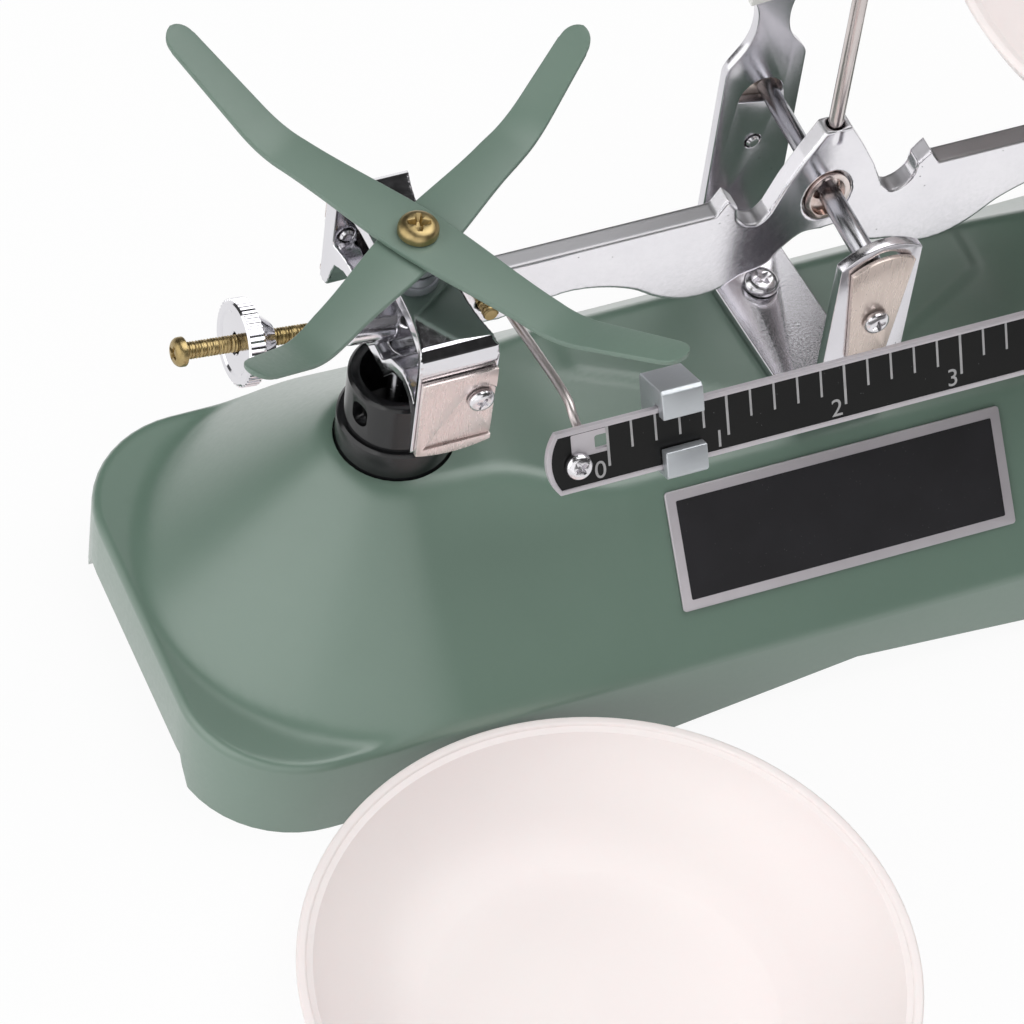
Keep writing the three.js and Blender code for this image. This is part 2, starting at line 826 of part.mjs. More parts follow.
function dialPlate() {
  const { bottomZ, bottomHalf, rimRadius, thickness, rootZ } = dial;
  const rimX = rimRadius * Math.sin(dialHalfAngle);
  const rimZ = pivotZ + rimRadius * Math.cos(dialHalfAngle);
  const edgeZ = lerp(rootZ, rimZ, dialEdgeShare);
  const shape = new THREE.Shape();
  shape.moveTo(-bottomHalf, bottomZ);
  shape.lineTo(bottomHalf, bottomZ);
  shape.quadraticCurveTo(bottomHalf, rootZ, rimX, edgeZ);
  shape.lineTo(rimX, rimZ);
  shape.absarc(0, pivotZ, rimRadius, Math.PI / 2 - dialHalfAngle, Math.PI / 2 + dialHalfAngle, false);
  shape.lineTo(-rimX, edgeZ);
  shape.quadraticCurveTo(-bottomHalf, rootZ, -bottomHalf, bottomZ);
  shape.closePath();
  shape.holes.push(circlePath(0, dial.screwLowZ, smallScrew.shankRadius + gap));
  shape.holes.push(circlePath(0, dial.screwHighZ, smallScrew.shankRadius + gap));
  return standingPlate(shape, -thickness, 0, { curveSegments: counts.small });
}

const column = new THREE.Group();
column.position.set(0, bracket.middleY, 0);
column.rotation.z = bracketTurn;
balance.add(column);

place(column, 'column_bracket', columnBracket(), looks.zinc);
place(column, 'bracket_screw', panHeadScrew(floorScrew), looks.chrome, [
  0, bracket.screwY, bracketFloorZ + bracket.sheet + seat,
]);

const coverFaceY = bracket.insideSpan / 2 + bracket.sheet + seat;
[['front', -1], ['rear', 1]].forEach(([name, side]) => {
  const backwards = side > 0 ? Math.PI : 0;
  const cover = place(column, `${name}_bearing_cover`, bearingCoverGeometry(), looks.beige, [
    0, side * coverFaceY, 0,
  ]);
  cover.rotation.z = backwards;
  const screw = place(column, `${name}_cover_screw`, panHeadScrew(smallScrew), looks.chrome, [
    0, side * (coverFaceY + bearingCover.thickness + seat), bearingCover.screwZ,
  ]);
  screw.rotation.x = -side * Math.PI / 2;
});

const dialFaceY = bracket.insideSpan / 2 - seat;
place(column, 'dial_plate', dialPlate(), looks.dialWhite, [0, dialFaceY, 0]);
[['lower', dial.screwLowZ], ['upper', dial.screwHighZ]].forEach(([name, z]) => {
  const screw = place(column, `dial_screw_${name}`, panHeadScrew(smallScrew), looks.chrome, [
    0, dialFaceY - dial.thickness - seat, z,
  ]);
  screw.rotation.x = Math.PI / 2;
});

// The cast beam, drawn from its middle outwards and mirrored.

function beamOutline() {
  const { half, topZ, bellyZ, peakZ, peakHalf, endZ } = beam;
  const above = ([x, z]) => new THREE.Vector2(x * half, topZ + z * beamCrown);
  const below = ([x, z]) => new THREE.Vector2(x * half, bellyZ + z * beamDepth);
  const mirror = (points) => points.map(({ x, y }) => new THREE.Vector2(-x, y)).reverse();
  const slope = beamCrownShares.map(above);
  const notch = beamNotchShares.map(above);
  const horn = above(beamHornShares);
  const belly = beamBellyShares.map(below);
  const endFoot = below(beamEndShares);
  const shape = new THREE.Shape();
  shape.moveTo(peakHalf, peakZ);
  slope.forEach(({ x, y }) => shape.lineTo(x, y));
  shape.splineThru(notch);
  shape.lineTo(horn.x, horn.y);
  shape.lineTo(beamHornFootShare * half, topZ);
  shape.lineTo(half, topZ);
  shape.lineTo(half, endZ);
  shape.lineTo(endFoot.x, endFoot.y);
  shape.splineThru([...belly, ...mirror(belly).slice(1)]);
  shape.lineTo(-endFoot.x, endFoot.y);
  shape.lineTo(-half, endZ);
  shape.lineTo(-half, topZ);
  shape.lineTo(-beamHornFootShare * half, topZ);
  shape.lineTo(-horn.x, horn.y);
  const leftNotch = mirror(notch);
  shape.lineTo(leftNotch[0].x, leftNotch[0].y);
  shape.splineThru([...leftNotch.slice(1), mirror(slope)[0]]);
  mirror(slope).slice(1).forEach(({ x, y }) => shape.lineTo(x, y));
  shape.lineTo(-peakHalf, peakZ);
  shape.closePath();
  return shape;
}

function ovalShape(halfWidth, halfHeight, middleZ) {
  const shape = new THREE.Shape();
  shape.absellipse(0, middleZ, halfWidth, halfHeight, 0, Math.PI * 2, false, 0);
  return shape;
}

const adjusterTilt = Math.atan2(adjuster.headZ - adjuster.rootZ, adjusterHeadX - adjusterRootX);

function adjusterFrame(side) {
  const frame = new THREE.Matrix4().makeTranslation(side * adjusterRootX, 0, adjuster.rootZ);
  return frame.multiply(new THREE.Matrix4().makeRotationY(side * (Math.PI / 2 - adjusterTilt)));
}

function beamGeometry() {
  const { thickness, bevel } = beam;
  const plate = new THREE.ExtrudeGeometry(beamOutline(), {
    depth: thickness - 2 * bevel,
    bevelThickness: bevel,
    bevelSize: bevel,
    bevelOffset: -bevel,
    bevelSegments: 1,
    curveSegments: counts.curve,
  });
  plate.rotateX(Math.PI / 2).translate(0, thickness / 2 - bevel, 0);
  const bosses = [];
  const oval = ovalShape(bush.halfWidth + gap, bush.halfHeight + gap, bush.middleZ);
  const holes = [
    uprightRod(pointer.radius + gap, beam.peakZ - pointer.depth - gap, beam.peakZ + overrun),
    standingPlate(oval, -thickness, thickness, { curveSegments: counts.small }),
  ];
  [-1, 1].forEach((side) => {
    const [low, high] = endBossShares.map((share) => share * beam.endBossLength);
    const name = side < 0 ? 'left' : 'right';
    const acrossBeam = (radius, x, z) => (
      crossRod(radius, -beam.endBossLength, beam.endBossLength).translate(side * x, 0, z)
    );
    bosses.push(uprightRod(beam.endBossRadius, low, high).applyMatrix4(adjusterFrame(side)));
    holes.push(uprightRod(adjuster.radius + gap, -gap, high + overrun).applyMatrix4(adjusterFrame(side)));
    holes.push(acrossBeam(endKnife.edge + gap, arm, endKnife.middleZ));
    holes.push(acrossBeam(clamp.radius + gap, arm - clampInset[name], clamp.z));
    holes.push(acrossBeam(wire.radius + gap, arm - wireInset[name], wire.z));
  });
  return cut(join(plate, ...bosses), ...holes);
}

// The copper bush: an oval ring with an upright bar that holds the middle knife.
function bushGeometry() {
  const { halfWidth, halfHeight, rim, middleZ, proud, bar } = bush;
  const ring = ovalShape(halfWidth, halfHeight, middleZ);
  ring.holes.push(ovalShape(halfWidth - rim, halfHeight - rim, middleZ));
  const half = middleKnife.radius + gap + bar;
  const upright = new THREE.Shape();
  upright.moveTo(-half + bar, middleZ - halfHeight + rim);
  upright.lineTo(half - bar, middleZ - halfHeight + rim);
  upright.lineTo(half, middleKnife.middleZ);
  upright.lineTo(half - bar, middleZ + halfHeight - rim);
  upright.lineTo(-half + bar, middleZ + halfHeight - rim);
  upright.lineTo(-half, middleKnife.middleZ);
  upright.closePath();
  const reach = beam.thickness / 2;
  const whole = join(
    standingPlate(ring, -reach - proud, reach + proud, { curveSegments: counts.small }),
    standingPlate(upright, -reach / 2, reach + proud),
  );
  const knifeHole = crossRod(middleKnife.edge + gap, -reach - overrun, reach + overrun);
  return cut(whole, knifeHole.translate(0, 0, middleKnife.middleZ));
}

function middleKnifeGeometry() {
  const { radius, backRadius, edge, middleZ, stepY, endGap } = middleKnife;
  const frontY = bracket.middleY - bracket.insideSpan / 2 - bracket.sheet + endGap;
  const backY = bracket.middleY + bracket.insideSpan / 2 + bracket.sheet - endGap;
  return join(
    standingPlate(knifeShape(radius, edge, false), frontY, -stepY),
    standingPlate(knifeShape(backRadius, edge, false), -stepY, backY),
  ).translate(0, 0, middleZ);
}

function endKnifeGeometry() {
  const reach = carrier.faceY - gap;
  return standingPlate(knifeShape(endKnife.radius, endKnife.edge, true), -reach, reach);
}

function pointerGeometry() {
  const { radius, tipZ, tipLength, tipRadius, depth } = pointer;
  const footZ = beam.peakZ - depth;
  return turned([
    [0, footZ],
    [radius, footZ],
    [radius, tipZ - tipLength],
    [tipRadius, tipZ],
    [0, tipZ],
  ], counts.small);
}

place(balance, 'beam', beamGeometry(), looks.chrome);
place(balance, 'knife_bush', bushGeometry(), looks.copper);
place(balance, 'middle_knife', middleKnifeGeometry(), looks.chrome);
place(balance, 'pointer', pointerGeometry(), looks.chrome);

// The balance screws and nuts at the beam's two ends.

const adjusterLength = Math.hypot(adjusterHeadX - adjusterRootX, adjuster.headZ - adjuster.rootZ);

function adjusterGeometry() {
  return panHeadScrew({
    headRadius: adjuster.headRadius,
    headHeight: adjuster.headHeight,
    shankRadius: adjuster.radius,
    shankLength: adjusterLength,
  }).translate(0, 0, adjusterLength);
}

function nutGeometry() {
  const { radius, thickness, hubRadius, hubTip, hubLength, tooth } = nut;
  const knurl = new THREE.Shape();
  const step = (Math.PI * 2) / counts.teeth;
  for (let i = 0; i < counts.teeth; i += 1) {
    [0, ...nutToothShares].forEach((share, k) => {
      const angle = (i + share) * step;
      const out = share === 0 ? radius - tooth : radius;
      const x = out * Math.cos(angle);
      const y = out * Math.sin(angle);
      if (i === 0 && k === 0) knurl.moveTo(x, y);
      else knurl.lineTo(x, y);
    });
  }
  knurl.closePath();
  const bore = uprightRod(adjuster.radius + gap, -hubLength - overrun, thickness + overrun);
  const hub = turned([
    [0, -hubLength],
    [hubTip, -hubLength],
    [hubRadius, 0],
    [hubRadius, thickness / 2],
    [0, thickness / 2],
  ]);
  return cut(join(lyingPlate(knurl, 0, thickness), hub), bore);
}

// The ruler hangs in front of the beam, leaning back; its group has X along the ruler,
// Y up its face and Z out of it, from the middle of the top edge.

const rulerGroup = new THREE.Group();
rulerGroup.position.set(0, -ruler.topY, ruler.topZ);
rulerGroup.rotation.x = Math.PI / 2 - rulerLean;
rulerGroup.updateMatrix();
balance.add(rulerGroup);

function onRuler(x, up, out) {
  return new THREE.Vector3(x, up, out).applyMatrix4(rulerGroup.matrix);
}

function rulerScrewX(side) {
  return side < 0 ? ruler.screwInset - rulerLeftX : rulerRightX - ruler.screwInset;
}

// A long plate whose two ends are drawn outwards into shallow arcs.
function bowedPlate(halfX, halfY, bow) {
  const radius = (halfY ** 2 + bow ** 2) / (2 * bow);
  const turn = Math.asin(halfY / radius);
  const shape = new THREE.Shape();
  shape.absarc(halfX - radius, 0, radius, -turn, turn, false);
  shape.absarc(radius - halfX, 0, radius, Math.PI - turn, Math.PI + turn, false);
  shape.closePath();
  return shape;
}

function rulerGeometry() {
  const { height, thickness, endBow, screwDrop, tabInset, tabDrop, tabHalf } = ruler;
  const middleX = (rulerRightX - rulerLeftX) / 2;
  const shape = bowedPlate((rulerLeftX + rulerRightX) / 2, height / 2, endBow);
  [-1, 1].forEach((side) => {
    shape.holes.push(circlePath(
      rulerScrewX(side) - middleX,
      height / 2 - screwDrop,
      smallScrew.shankRadius + gap,
    ));
  });
  const tab = new THREE.Path();
  const tabX = tabInset - rulerLeftX - middleX;
  const tabY = height / 2 - tabDrop;
  tab.moveTo(tabX - tabHalf, tabY - tabHalf);
  tab.lineTo(tabX + tabHalf, tabY - tabHalf);
  tab.lineTo(tabX + tabHalf, tabY + tabHalf);
  tab.lineTo(tabX - tabHalf, tabY + tabHalf);
  tab.closePath();
  shape.holes.push(tab);
  return lyingPlate(shape, -thickness, 0).translate(middleX, -height / 2, 0);
}

function riderGeometry() {
  const { width, body, lip, cap, sole, upperLip, lowerLip, chamfer } = rider;
  const backInner = ruler.thickness + gap;
  const low = -ruler.height - gap;
  const profile = shapeFrom([
    [cap + gap, -backInner - body + chamfer],
    [cap + gap, gap + lip - chamfer],
    [cap + gap - chamfer, gap + lip],
    [cap + gap - upperLip, gap + lip],
    [cap + gap - upperLip, gap],
    [gap, gap],
    [gap, -backInner],
    [low, -backInner],
    [low, gap],
    [low - sole + lowerLip, gap],
    [low - sole + lowerLip, gap + lip],
    [low - sole + chamfer, gap + lip],
    [low - sole, gap + lip - chamfer],
    [low - sole, -backInner - body + chamfer],
    [low - sole + chamfer, -backInner - body],
    [cap + gap - chamfer, -backInner - body],
  ]);
  return sideProfile(profile, -width / 2, width / 2);
}

place(rulerGroup, 'ruler', rulerGeometry(), looks.rulerBlack);
place(rulerGroup, 'rider', riderGeometry(), looks.zinc, [rider.inset - arm, 0, 0]);

// A wire arm runs forward from the beam and curls round the ruler's end screw.
function wireGeometry(name, side) {
  const { radius, z, behind, straightY, crestZ, loop } = wire;
  const x = arm - wireInset[name];
  const backing = -ruler.thickness - radius - gap;
  const points = [
    new THREE.Vector3(side * x, behind, z),
    new THREE.Vector3(side * x, -beam.thickness, z),
    new THREE.Vector3(side * x, -straightY / 2, lerp(z, crestZ, wireRiseShare)),
    new THREE.Vector3(side * x, -straightY, crestZ - radius / 2),
    onRuler(side * x, radius, backing - radius),
  ];
  for (let angle = 0; angle <= 270; angle += 45) {
    const turn = THREE.MathUtils.degToRad(angle);
    points.push(onRuler(
      rulerScrewX(side) - side * loop * Math.cos(turn),
      -ruler.screwDrop - loop * Math.sin(turn),
      backing,
    ));
  }
  const route = new THREE.CatmullRomCurve3(points, false, 'centripetal');
  const section = new THREE.Shape();
  for (let i = 0; i < counts.wireSides; i += 1) {
    const angle = (i / counts.wireSides) * Math.PI * 2;
    if (i === 0) section.moveTo(radius, 0);
    else section.lineTo(radius * Math.cos(angle), radius * Math.sin(angle));
  }
  section.closePath();
  const settings = { steps: counts.wireSteps, extrudePath: route, bevelEnabled: false };
  return new THREE.ExtrudeGeometry(section, settings);
}

// The carriers: cast saddles that hang on the end knives, round the beam's ends.

function carrierSide() {
  const { topZ, top, faceY, cheek, bendY, bendDrop, midBendY, midBendDrop } = carrier;
  const { footZ, archY, archZ, funnelZ, funnelWall, web } = carrier;
  const [foot, arch, window] = [carrierFootShares, carrierArchShares, carrierWindowShares];
  const outer = [
    [bendY, topZ],
    [midBendY, topZ - midBendDrop],
    [faceY, topZ - bendDrop],
    [faceY, footZ + cheek * foot.round],
    [faceY - cheek * foot.outer, footZ],
    [faceY - cheek * foot.inner, footZ],
    [archY + web * arch.round, lerp(footZ, archZ, arch.legRise)],
    [archY, archZ - web * arch.round],
    [archY * arch.outerY, archZ],
    [archY * arch.innerY, archZ],
    [archY * arch.funnelY, lerp(funnelZ, archZ, arch.funnelRise)],
    [stem.radius + gap + funnelWall, funnelZ],
  ];
  const both = [...outer, ...outer.map(([y, z]) => [-y, z]).reverse()];
  const shape = shapeFrom(both);
  const inner = [
    [bendY - top / 2, topZ - top],
    [faceY - cheek, topZ - bendDrop],
    [faceY - cheek, archZ + web * window.cornerRise],
    [archY * window.outerY, archZ + web],
    [archY * window.innerY, archZ + web * window.innerRise],
    [archY * window.funnelY, lerp(funnelZ, archZ, window.funnelRise) + web],
    [stem.radius + gap, funnelZ + web],
  ];
  shape.holes.push(shapeFrom([...inner, ...inner.map(([y, z]) => [-y, z]).reverse()]));
  return sideProfile(shape, -carrier.half, carrier.half);
}

function carrierPlan() {
  const { half, waist, waistY, flareY, faceY } = carrier;
  const reach = faceY + overrun;
  const shape = new THREE.Shape();
  shape.moveTo(waist, -waistY);
  shape.lineTo(waist, waistY);
  shape.quadraticCurveTo(waist, flareY, half, faceY);
  shape.lineTo(half, reach);
  shape.lineTo(-half, reach);
  shape.lineTo(-half, faceY);
  shape.quadraticCurveTo(-waist, flareY, -waist, waistY);
  shape.lineTo(-waist, -waistY);
  shape.quadraticCurveTo(-waist, -flareY, -half, -faceY);
  shape.lineTo(-half, -reach);
  shape.lineTo(half, -reach);
  shape.lineTo(half, -faceY);
  shape.quadraticCurveTo(waist, -flareY, waist, -waistY);
  shape.closePath();
  return lyingPlate(shape, 0, carrier.topZ + overrun);
}

// The cover screw stands clear of the knife notch, towards the cheek's edge.
const cheekScrewX = carrier.holeHalf + carrier.screwWall + smallScrew.shankRadius + gap;

function carrierGeometry() {
  const { holeHalf, holeDrop, faceY, topZ, top } = carrier;
  const peakZ = endEdgeZ + gap;
  const notch = shapeFrom([
    [0, peakZ],
    [-holeHalf, peakZ - holeHalf * knifeNotchShare],
    [-holeHalf, peakZ - holeDrop],
    [holeHalf, peakZ - holeDrop],
    [holeHalf, peakZ - holeHalf * knifeNotchShare],
  ]);
  const knifeHole = standingPlate(notch, -faceY - overrun, faceY + overrun);
  const coverHoles = [-1, 1].map((side) => crossRod(smallScrew.shankRadius + gap, -overrun, overrun)
    .translate(-side * cheekScrewX, side * faceY, cheekCover.screwZ));
  const stemHole = uprightRod(stem.radius + gap, 0, topZ - top - overrun);
  const screwHole = uprightRod(crossScrew.shankRadius + gap, topZ - top - overrun, topZ + overrun);
  return cut(common(carrierSide(), carrierPlan()), knifeHole, ...coverHoles, stemHole, screwHole);
}

// A cheek cover: a thin plate with a tear-shaped recess round its screw.
function cheekCoverGeometry() {
  const { thickness, recess, top, sideGap, crown, tear } = cheekCover;
  const half = carrier.half - sideGap;
  const highZ = carrier.topZ - carrier.bendDrop - top;
  const lowZ = carrier.footZ + crown;
  const shape = new THREE.Shape();
  shape.moveTo(-half, lowZ);
  shape.quadraticCurveTo(0, lowZ - crown * 2, half, lowZ);
  shape.lineTo(half, highZ);
  shape.lineTo(-half, highZ);
  shape.closePath();
  const plate = standingPlate(shape, -thickness, 0);
  const tail = tear * tearTailShare;
  const groove = new THREE.Shape();
  groove.moveTo(half + overrun, cheekCover.screwZ);
  groove.lineTo(cheekScrewX + tear, cheekCover.screwZ);
  groove.absarc(cheekScrewX, cheekCover.screwZ, tear, 0, Math.PI * 0.8, false);
  groove.lineTo(-half + tail, lowZ + tail);
  groove.lineTo(half + overrun, lowZ + tail);
  groove.closePath();
  const hole = crossRod(smallScrew.shankRadius + gap, -thickness - overrun, overrun);
  return cut(
    plate,
    standingPlate(groove, -thickness - overrun, recess - thickness),
    hole.translate(cheekScrewX, 0, cheekCover.screwZ),
  );
}

function stemGeometry() {
  const { radius, topZ, eyeRadius, eyeThickness, pinZ } = stem;
  const eye = crossRod(eyeRadius, -eyeThickness / 2, eyeThickness / 2).translate(0, 0, pinZ);
  const hole = crossRod(stay.pinRadius + gap, -overrun - eyeThickness, overrun + eyeThickness);
  return cut(join(uprightRod(radius, pinZ, topZ), eye), hole.translate(0, 0, pinZ));
}

// A pin along Y with its head at the front.
function pinGeometry(radius, frontY, backY) {
  return join(
    crossRod(pinHead.radius, frontY - pinHead.height, frontY),
    crossRod(radius, frontY - pinHead.height / 2, backY),
  );
}

// How high an arm of the cross stands above its middle, at a distance from the axis.
function armRise(distance, riseShare) {
  const past = Math.max(distance - strip.bendStart, 0);
  const bending = Math.min(past, strip.bendLength);
  return riseShare * (bending * bending / (2 * strip.bendLength) + past - bending);
}

function armHalfWidth(distance, reach) {
  const middle = reach / 2;
  const taper = distance < middle
    ? lerp(strip.centreHalf, strip.armHalf, smoothstep(distance, 0, middle))
    : lerp(strip.armHalf, strip.tipHalf, (distance - middle) / (reach - middle));
  const toTip = reach - distance;
  if (toTip >= strip.tipHalf) return taper;
  const round = Math.sqrt(Math.max(strip.tipHalf ** 2 - (strip.tipHalf - toTip) ** 2, 0));
  return Math.max(Math.min(taper, round), strip.tipHalf * stripTipShare);
}

// One long arm of the cross: a flat strip, bent upwards and narrowed at both ends.
function stripGeometry({ reach, riseShare }) {
  const places = [];
  for (let i = 0; i <= counts.stripSteps; i += 1) {
    const share = (2 * i) / counts.stripSteps - 1;
    places.push(Math.sign(share) * reach * (1 - (1 - Math.abs(share)) ** stripStepPower));
  }
  const vertices = [];
  const triangles = [];
  places.forEach((along, i) => {
    const half = armHalfWidth(Math.abs(along), reach);
    const z = armRise(Math.abs(along), riseShare);
    [[-half, 0], [half, 0], [half, strip.thickness], [-half, strip.thickness]].forEach(([y, up]) => {
      vertices.push(along, y, z + up);
    });
    if (i === 0) return;
    for (let k = 0; k < 4; k += 1) {
      const [a, b] = [(i - 1) * 4 + k, (i - 1) * 4 + ((k + 1) % 4)];
      triangles.push(a, a + 4, b + 4, a, b + 4, b);
    }
  });
  const end = (places.length - 1) * 4;
  triangles.push(0, 1, 2, 0, 2, 3, end, end + 2, end + 1, end, end + 3, end + 2);
  const geometry = new THREE.BufferGeometry();
  geometry.setAttribute('position', new THREE.Float32BufferAttribute(vertices, 3));
  geometry.setIndex(triangles);
  const hole = uprightRod(crossScrew.shankRadius + gap, -overrun, strip.thickness + overrun);
  return cut(geometry, hole);
}

const washerLowZ = carrier.topZ + seat;
const washerHighZ = washerLowZ + washer.thickness + seat;
const lowerStripZ = washerHighZ + washer.thickness + seat;
const upperStripZ = lowerStripZ + strip.thickness + seat;
const crossHeadZ = upperStripZ + strip.thickness + seat;
const lowerArm = { reach: strip.lowerReach, riseShare: stripRiseShares.lower, z: lowerStripZ };
const upperArm = { reach: strip.upperReach, riseShare: stripRiseShares.upper, z: upperStripZ };

function washerGeometry() {
  const inner = crossScrew.shankRadius + gap;
  return turned([
    [inner, 0],
    [washer.radius, 0],
    [washer.radius, washer.thickness],
    [inner, washer.thickness],
    [inner, 0],
  ], counts.small);
}

const mirrored = [['left', -1], ['right', 1]];

mirrored.forEach(([name, side]) => {
  const atArm = (z) => [side * arm, 0, z];
  const shield = place(balance, `${name}_sleeve`, sleeveGeometry(), looks.black, atArm(0));
  shield.rotation.z = side > 0 ? Math.PI : 0;
  place(balance, `${name}_knife`, endKnifeGeometry(), looks.chrome, atArm(endKnife.middleZ));

  const screwGroup = new THREE.Group();
  adjusterFrame(side).decompose(screwGroup.position, screwGroup.quaternion, screwGroup.scale);
  balance.add(screwGroup);
  place(screwGroup, `${name}_balance_screw`, adjusterGeometry(), looks.brass);
  const nutPlace = (nut.reach + adjuster.sunk) / Math.cos(adjusterTilt);
  place(screwGroup, `${name}_balance_nut`, nutGeometry(), looks.chrome, [0, 0, nutPlace]);

  const clampScrew = panHeadScrew({
    headRadius: clamp.headRadius,
    headHeight: clamp.headHeight,
    shankRadius: clamp.radius,
    shankLength: beam.thickness + clamp.front,
  });
  const clampMesh = place(balance, `${name}_clamp_screw`, clampScrew, looks.brass, [
    side * (arm - clampInset[name]), beam.thickness / 2 + seat, clamp.z,
  ]);
  clampMesh.rotation.x = -Math.PI / 2;

  place(balance, `${name}_ruler_wire`, wireGeometry(name, side), looks.chrome);
  place(rulerGroup, `${name}_ruler_screw`, panHeadScrew(smallScrew), looks.chrome, [
    rulerScrewX(side), -ruler.screwDrop, seat,
  ]);

  place(balance, `${name}_carrier`, carrierGeometry(), looks.chrome, atArm(0));
  [['front', -1], ['rear', 1]].forEach(([end, facing]) => {
    const hanger = new THREE.Group();
    hanger.position.set(side * arm, 0, 0);
    hanger.rotation.z = facing > 0 ? Math.PI : 0;
    balance.add(hanger);
    const coverY = -carrier.faceY - seat;
    place(hanger, `${name}_${end}_cheek_cover`, cheekCoverGeometry(), looks.beige, [0, coverY, 0]);
    const screw = place(hanger, `${name}_${end}_cheek_screw`, panHeadScrew(smallScrew), looks.chrome, [
      cheekScrewX,
      coverY - cheekCover.thickness - seat + cheekCover.recess,
      cheekCover.screwZ,
    ]);
    screw.rotation.x = Math.PI / 2;
  });

  place(balance, `${name}_stem`, stemGeometry(), looks.chrome, atArm(0));
  const pinBack = stayBackY + gap * 2;
  const pinFront = -stem.eyeThickness / 2 - seat;
  const pin = pinGeometry(stay.pinRadius, pinFront, pinBack);
  place(balance, `${name}_stem_pin`, pin, looks.zinc, atArm(stem.pinZ));

  place(balance, `${name}_lower_washer`, washerGeometry(), looks.chrome, atArm(washerLowZ));
  place(balance, `${name}_upper_washer`, washerGeometry(), looks.chrome, atArm(washerHighZ));
  const arms = [['lower', lowerArm, lowerStripTurn], ['upper', upperArm, upperStripTurn]];
  arms.forEach(([level, sizes, turn]) => {
    const crossArm = place(
      balance,
      `${name}_${level}_strip`,
      stripGeometry(sizes),
      looks.enamel,
      atArm(sizes.z),
    );
    crossArm.rotation.z = turn;
  });
  const screwLength = crossHeadZ - carrier.topZ + carrier.top;
  const cross = panHeadScrew({ ...crossScrew, shankLength: screwLength });
  place(balance, `${name}_cross_screw`, cross, looks.brass, atArm(crossHeadZ));
});

// The stay link under the base keeps both carriers upright.

function stayGeometry() {
  const { halfHeight, eyeRadius, hubRadius, pinRadius, pivotRadius } = stay;
  const drop = stem.pinZ - stayPivotZ;
  const bar = shapeFrom([
    [-arm, drop - halfHeight],
    [0, -hubRadius * stayHubShare],
    [arm, drop - halfHeight],
    [arm, drop + halfHeight],
    [0, hubRadius * stayHubShare],
    [-arm, drop + halfHeight],
  ]);
  const bars = [standingPlate(bar, stayFrontY, stayBackY)];
  const holes = [crossRod(pivotRadius + gap, stayFrontY - overrun, stayBackY + overrun)];
  bars.push(crossRod(hubRadius, stayFrontY, stayBackY));
  [-arm, arm].forEach((x) => {
    bars.push(crossRod(eyeRadius, stayFrontY, stayBackY).translate(x, 0, drop));
    holes.push(crossRod(pinRadius + gap, stayFrontY - overrun, stayBackY + overrun).translate(x, 0, drop));
  });
  return cut(join(...bars), ...holes);
}

place(balance, 'stay_link', stayGeometry(), looks.zinc, [0, 0, stayPivotZ]);
const pivotPin = pinGeometry(stay.pivotRadius, lugPlaces[0][0] - seat, lugPlaces[1][1] + gap);
place(balance, 'stay_pivot_pin', pivotPin, looks.zinc, [0, 0, stayPivotZ]);

// The pans: shallow plastic dishes whose undersides rest on the arms of the cross.

function panProfile() {
  const { radius, height, footRadius } = pan;
  return panCurveShares.map(([outwards, up]) => [lerp(footRadius, radius, outwards), height * up]);
}

function panGeometry() {
  const { radius, height, wall, lipRound } = pan;
  const under = panProfile();
  const inside = under.map(([r, z]) => [r - wall * (z / height), z + wall]).reverse();
  inside[0] = [radius - wall, height - lipRound];
  return turned([
    [0, 0],
    ...under,
    [radius, height - lipRound],
    [radius - lipRound, height],
    [radius - wall + lipRound, height],
    ...inside,
    [0, wall],
  ], counts.pan);
}

// The pan comes down until its underside first meets the cross or the screw between its arms.
const panSeatZ = gap + [lowerArm, upperArm].reduce((top, { reach, riseShare, z: armZ }) => (
  panProfile().filter(([r]) => r <= reach).reduce((highest, [r, z]) => (
    Math.max(highest, armZ + strip.thickness + armRise(r, riseShare) - z)
  ), top)
), crossHeadZ + crossScrew.headHeight);

const loosePanY = shell.width / 2 + pan.radius + loosePan.clearance;
place(balance, 'left_pan', panGeometry(), looks.panWhite, [-loosePan.x, -loosePanY, 0]);
place(balance, 'right_pan', panGeometry(), looks.panWhite, [arm, 0, panSeatZ]);

// The origin stands under the middle of the whole balance, its loose pan included.
balance.updateMatrixWorld(true);
const middle = new THREE.Box3().setFromObject(balance, true).getCenter(new THREE.Vector3());
balance.position.set(-middle.x, -middle.y, 0);

export default balance;
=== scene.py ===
from functools import partial
from math import acos, asin, atan2, copysign, cos, hypot, pi, radians, sin, sqrt, tan, tau

import bmesh
import bpy
from mathutils import Matrix, Vector
from mathutils.geometry import tessellate_polygon


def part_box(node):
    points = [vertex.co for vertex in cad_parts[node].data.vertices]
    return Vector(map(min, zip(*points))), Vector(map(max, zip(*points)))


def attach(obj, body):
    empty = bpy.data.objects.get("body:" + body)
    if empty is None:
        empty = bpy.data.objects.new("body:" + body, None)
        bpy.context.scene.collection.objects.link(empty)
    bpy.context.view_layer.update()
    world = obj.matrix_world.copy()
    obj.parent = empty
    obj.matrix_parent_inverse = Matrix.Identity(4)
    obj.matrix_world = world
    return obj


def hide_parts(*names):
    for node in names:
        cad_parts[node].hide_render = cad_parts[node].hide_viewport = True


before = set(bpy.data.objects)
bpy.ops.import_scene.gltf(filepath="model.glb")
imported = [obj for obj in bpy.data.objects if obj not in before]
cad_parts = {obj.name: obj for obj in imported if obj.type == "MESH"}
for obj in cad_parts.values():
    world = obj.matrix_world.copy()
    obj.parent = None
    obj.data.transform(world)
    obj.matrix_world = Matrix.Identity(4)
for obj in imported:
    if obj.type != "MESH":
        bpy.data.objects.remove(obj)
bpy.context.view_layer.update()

millimetre = 0.001
shellLow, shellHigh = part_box("base_shell")
baseMiddle = Vector(((shellLow.x + shellHigh.x) / 2, (shellLow.y + shellHigh.y) / 2, 0))
